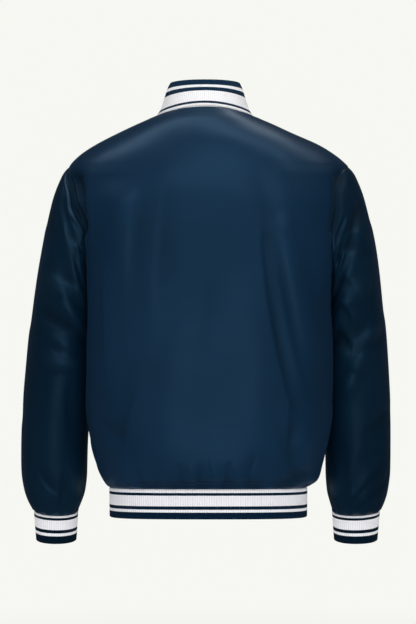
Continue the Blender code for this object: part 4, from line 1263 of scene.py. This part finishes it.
# The floor is pale near the jacket, and fades into the pale studio around it
studio = {
    "pale": (0.922, 0.930, 0.887, 1),
    "floorLevel": -0.95,
    "floorReach": 40,
    "floorFade": (0.95, 1.45),
    "floorGlow": (0.78, 1.0),
    "ambient": 0.03,
    "eye": (0.0, 4.5, -0.3346),
    "lens": 152.1,
    "sensor": 36,
    "farthest": 200,
    "lampAim": (0, 0, -0.33),
    "lights": [
        ("overhead", (0.25, 0.7, 2.2), (4.8, 0.7), 54, "gloss"),
        ("high behind the eye", (0.0, 3.3, 1.7), (3.4, 0.6), 27, "gloss"),
        ("behind the eye", (0.0, 4.3, -0.8), (6.4, 2.6), 239, "soft"),
        ("near the eye", (0.0, 4.4, -1.0), (1.9, 2.2), 18, "gloss"),
        ("front", (0.0, -4.4, 0.2), (3.0, 2.6), 150, "soft"),
        ("front overhead", (-0.75, -0.9, 2.3), (3.1, 0.7), 32, "gloss"),
        ("ceiling", (0.0, 0.4, 3.4), (4.0, 4.0), 110, "soft"),
    ],
}


def shaded(holder, output, build):
    holder.use_nodes = True
    nodes = holder.node_tree.nodes
    nodes.clear()
    surface = build(Net(holder.node_tree))
    holder.node_tree.links.new(surface.socket, nodes.new(output).inputs["Surface"])


def paleFloor(net):
    away = net.node("ShaderNodeVectorMath", {"operation": "LENGTH"}, {0: net.coordinates()}, 1)
    matt = net.node("ShaderNodeBsdfDiffuse", {}, {"Color": studio["pale"]})
    glow = net.node("ShaderNodeEmission", {}, {"Color": studio["pale"]})
    near, far = studio["floorGlow"]
    glowing = away.between(*studio["floorFade"]) * (far - near) + near
    return net.node("ShaderNodeMixShader", {}, {0: glowing, 1: matt, 2: glow})


def paleWorld(net):
    seen = net.node("ShaderNodeLightPath", output="Is Camera Ray")
    pale = net.node("ShaderNodeBackground", {}, {"Color": studio["pale"]})
    soft = net.node("ShaderNodeBackground", {}, {"Color": studio["pale"], "Strength": studio["ambient"]})
    return net.node("ShaderNodeMixShader", {}, {0: seen, 1: soft, 2: pale})


def layFloor():
    mesh = bpy.data.meshes.new("floor")
    reach, level = studio["floorReach"], studio["floorLevel"]
    corners = [(-reach, -reach, level), (reach, -reach, level), (reach, reach, level), (-reach, reach, level)]
    mesh.from_pydata(corners, [], [(0, 1, 2, 3)])
    material = bpy.data.materials.new("pale floor")
    shaded(material, "ShaderNodeOutputMaterial", paleFloor)
    mesh.materials.append(material)
    floor = linked("floor", mesh)
    floor.visible_glossy = False


def lightStudio():
    world = bpy.data.worlds.new("studio")
    bpy.context.scene.world = world
    shaded(world, "ShaderNodeOutputWorld", paleWorld)
    for name, place, size, power, how in studio["lights"]:
        light = bpy.data.lights.new(name, "AREA")
        light.shape, light.size, light.size_y = "RECTANGLE", *size
        light.energy = power
        lamp = linked(name, light)
        lamp.location = place
        lamp.visible_glossy, lamp.visible_diffuse = how == "gloss", how == "soft"
        aim = Vector(studio["lampAim"]) - lamp.location
        lamp.rotation_euler = aim.to_track_quat("-Z", "Y").to_euler()


def placeCamera():
    eye = bpy.data.cameras.new("camera")
    eye.lens = studio["lens"]
    eye.sensor_width = studio["sensor"]
    eye.clip_end = studio["farthest"]
    camera = linked("camera", eye)
    camera.location = studio["eye"]
    camera.rotation_euler = (math.radians(90), 0, math.radians(180))
    bpy.context.scene.camera = camera


def triangles(piece):
    return sum(len(face.vertices) - 2 for face in piece.data.polygons)


print("lighting the studio")
bpy.context.scene.view_settings.view_transform = "Standard"
layFloor()
lightStudio()
placeCamera()

print("joining the pieces to the frame")
satinPieces = (back, frontLeft, frontRight, sleeveLeft, sleeveRight)
ribPieces = (collar, hemBand, cuffLeft, cuffRight)
for piece in (stitches, snapCaps, snapRims):
    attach(piece, "root")
    print(piece.name, triangles(piece), "triangles")
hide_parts(*[f"snap_{k + 1}" for k in range(snaps["onFront"] + 1)])
for piece in satinPieces + ribPieces:
    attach(piece, "root")
    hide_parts(piece.name.removesuffix("_cloth"))
    "satin" if piece in satinPieces else "rib_knit"
for piece in satinPieces + ribPieces:
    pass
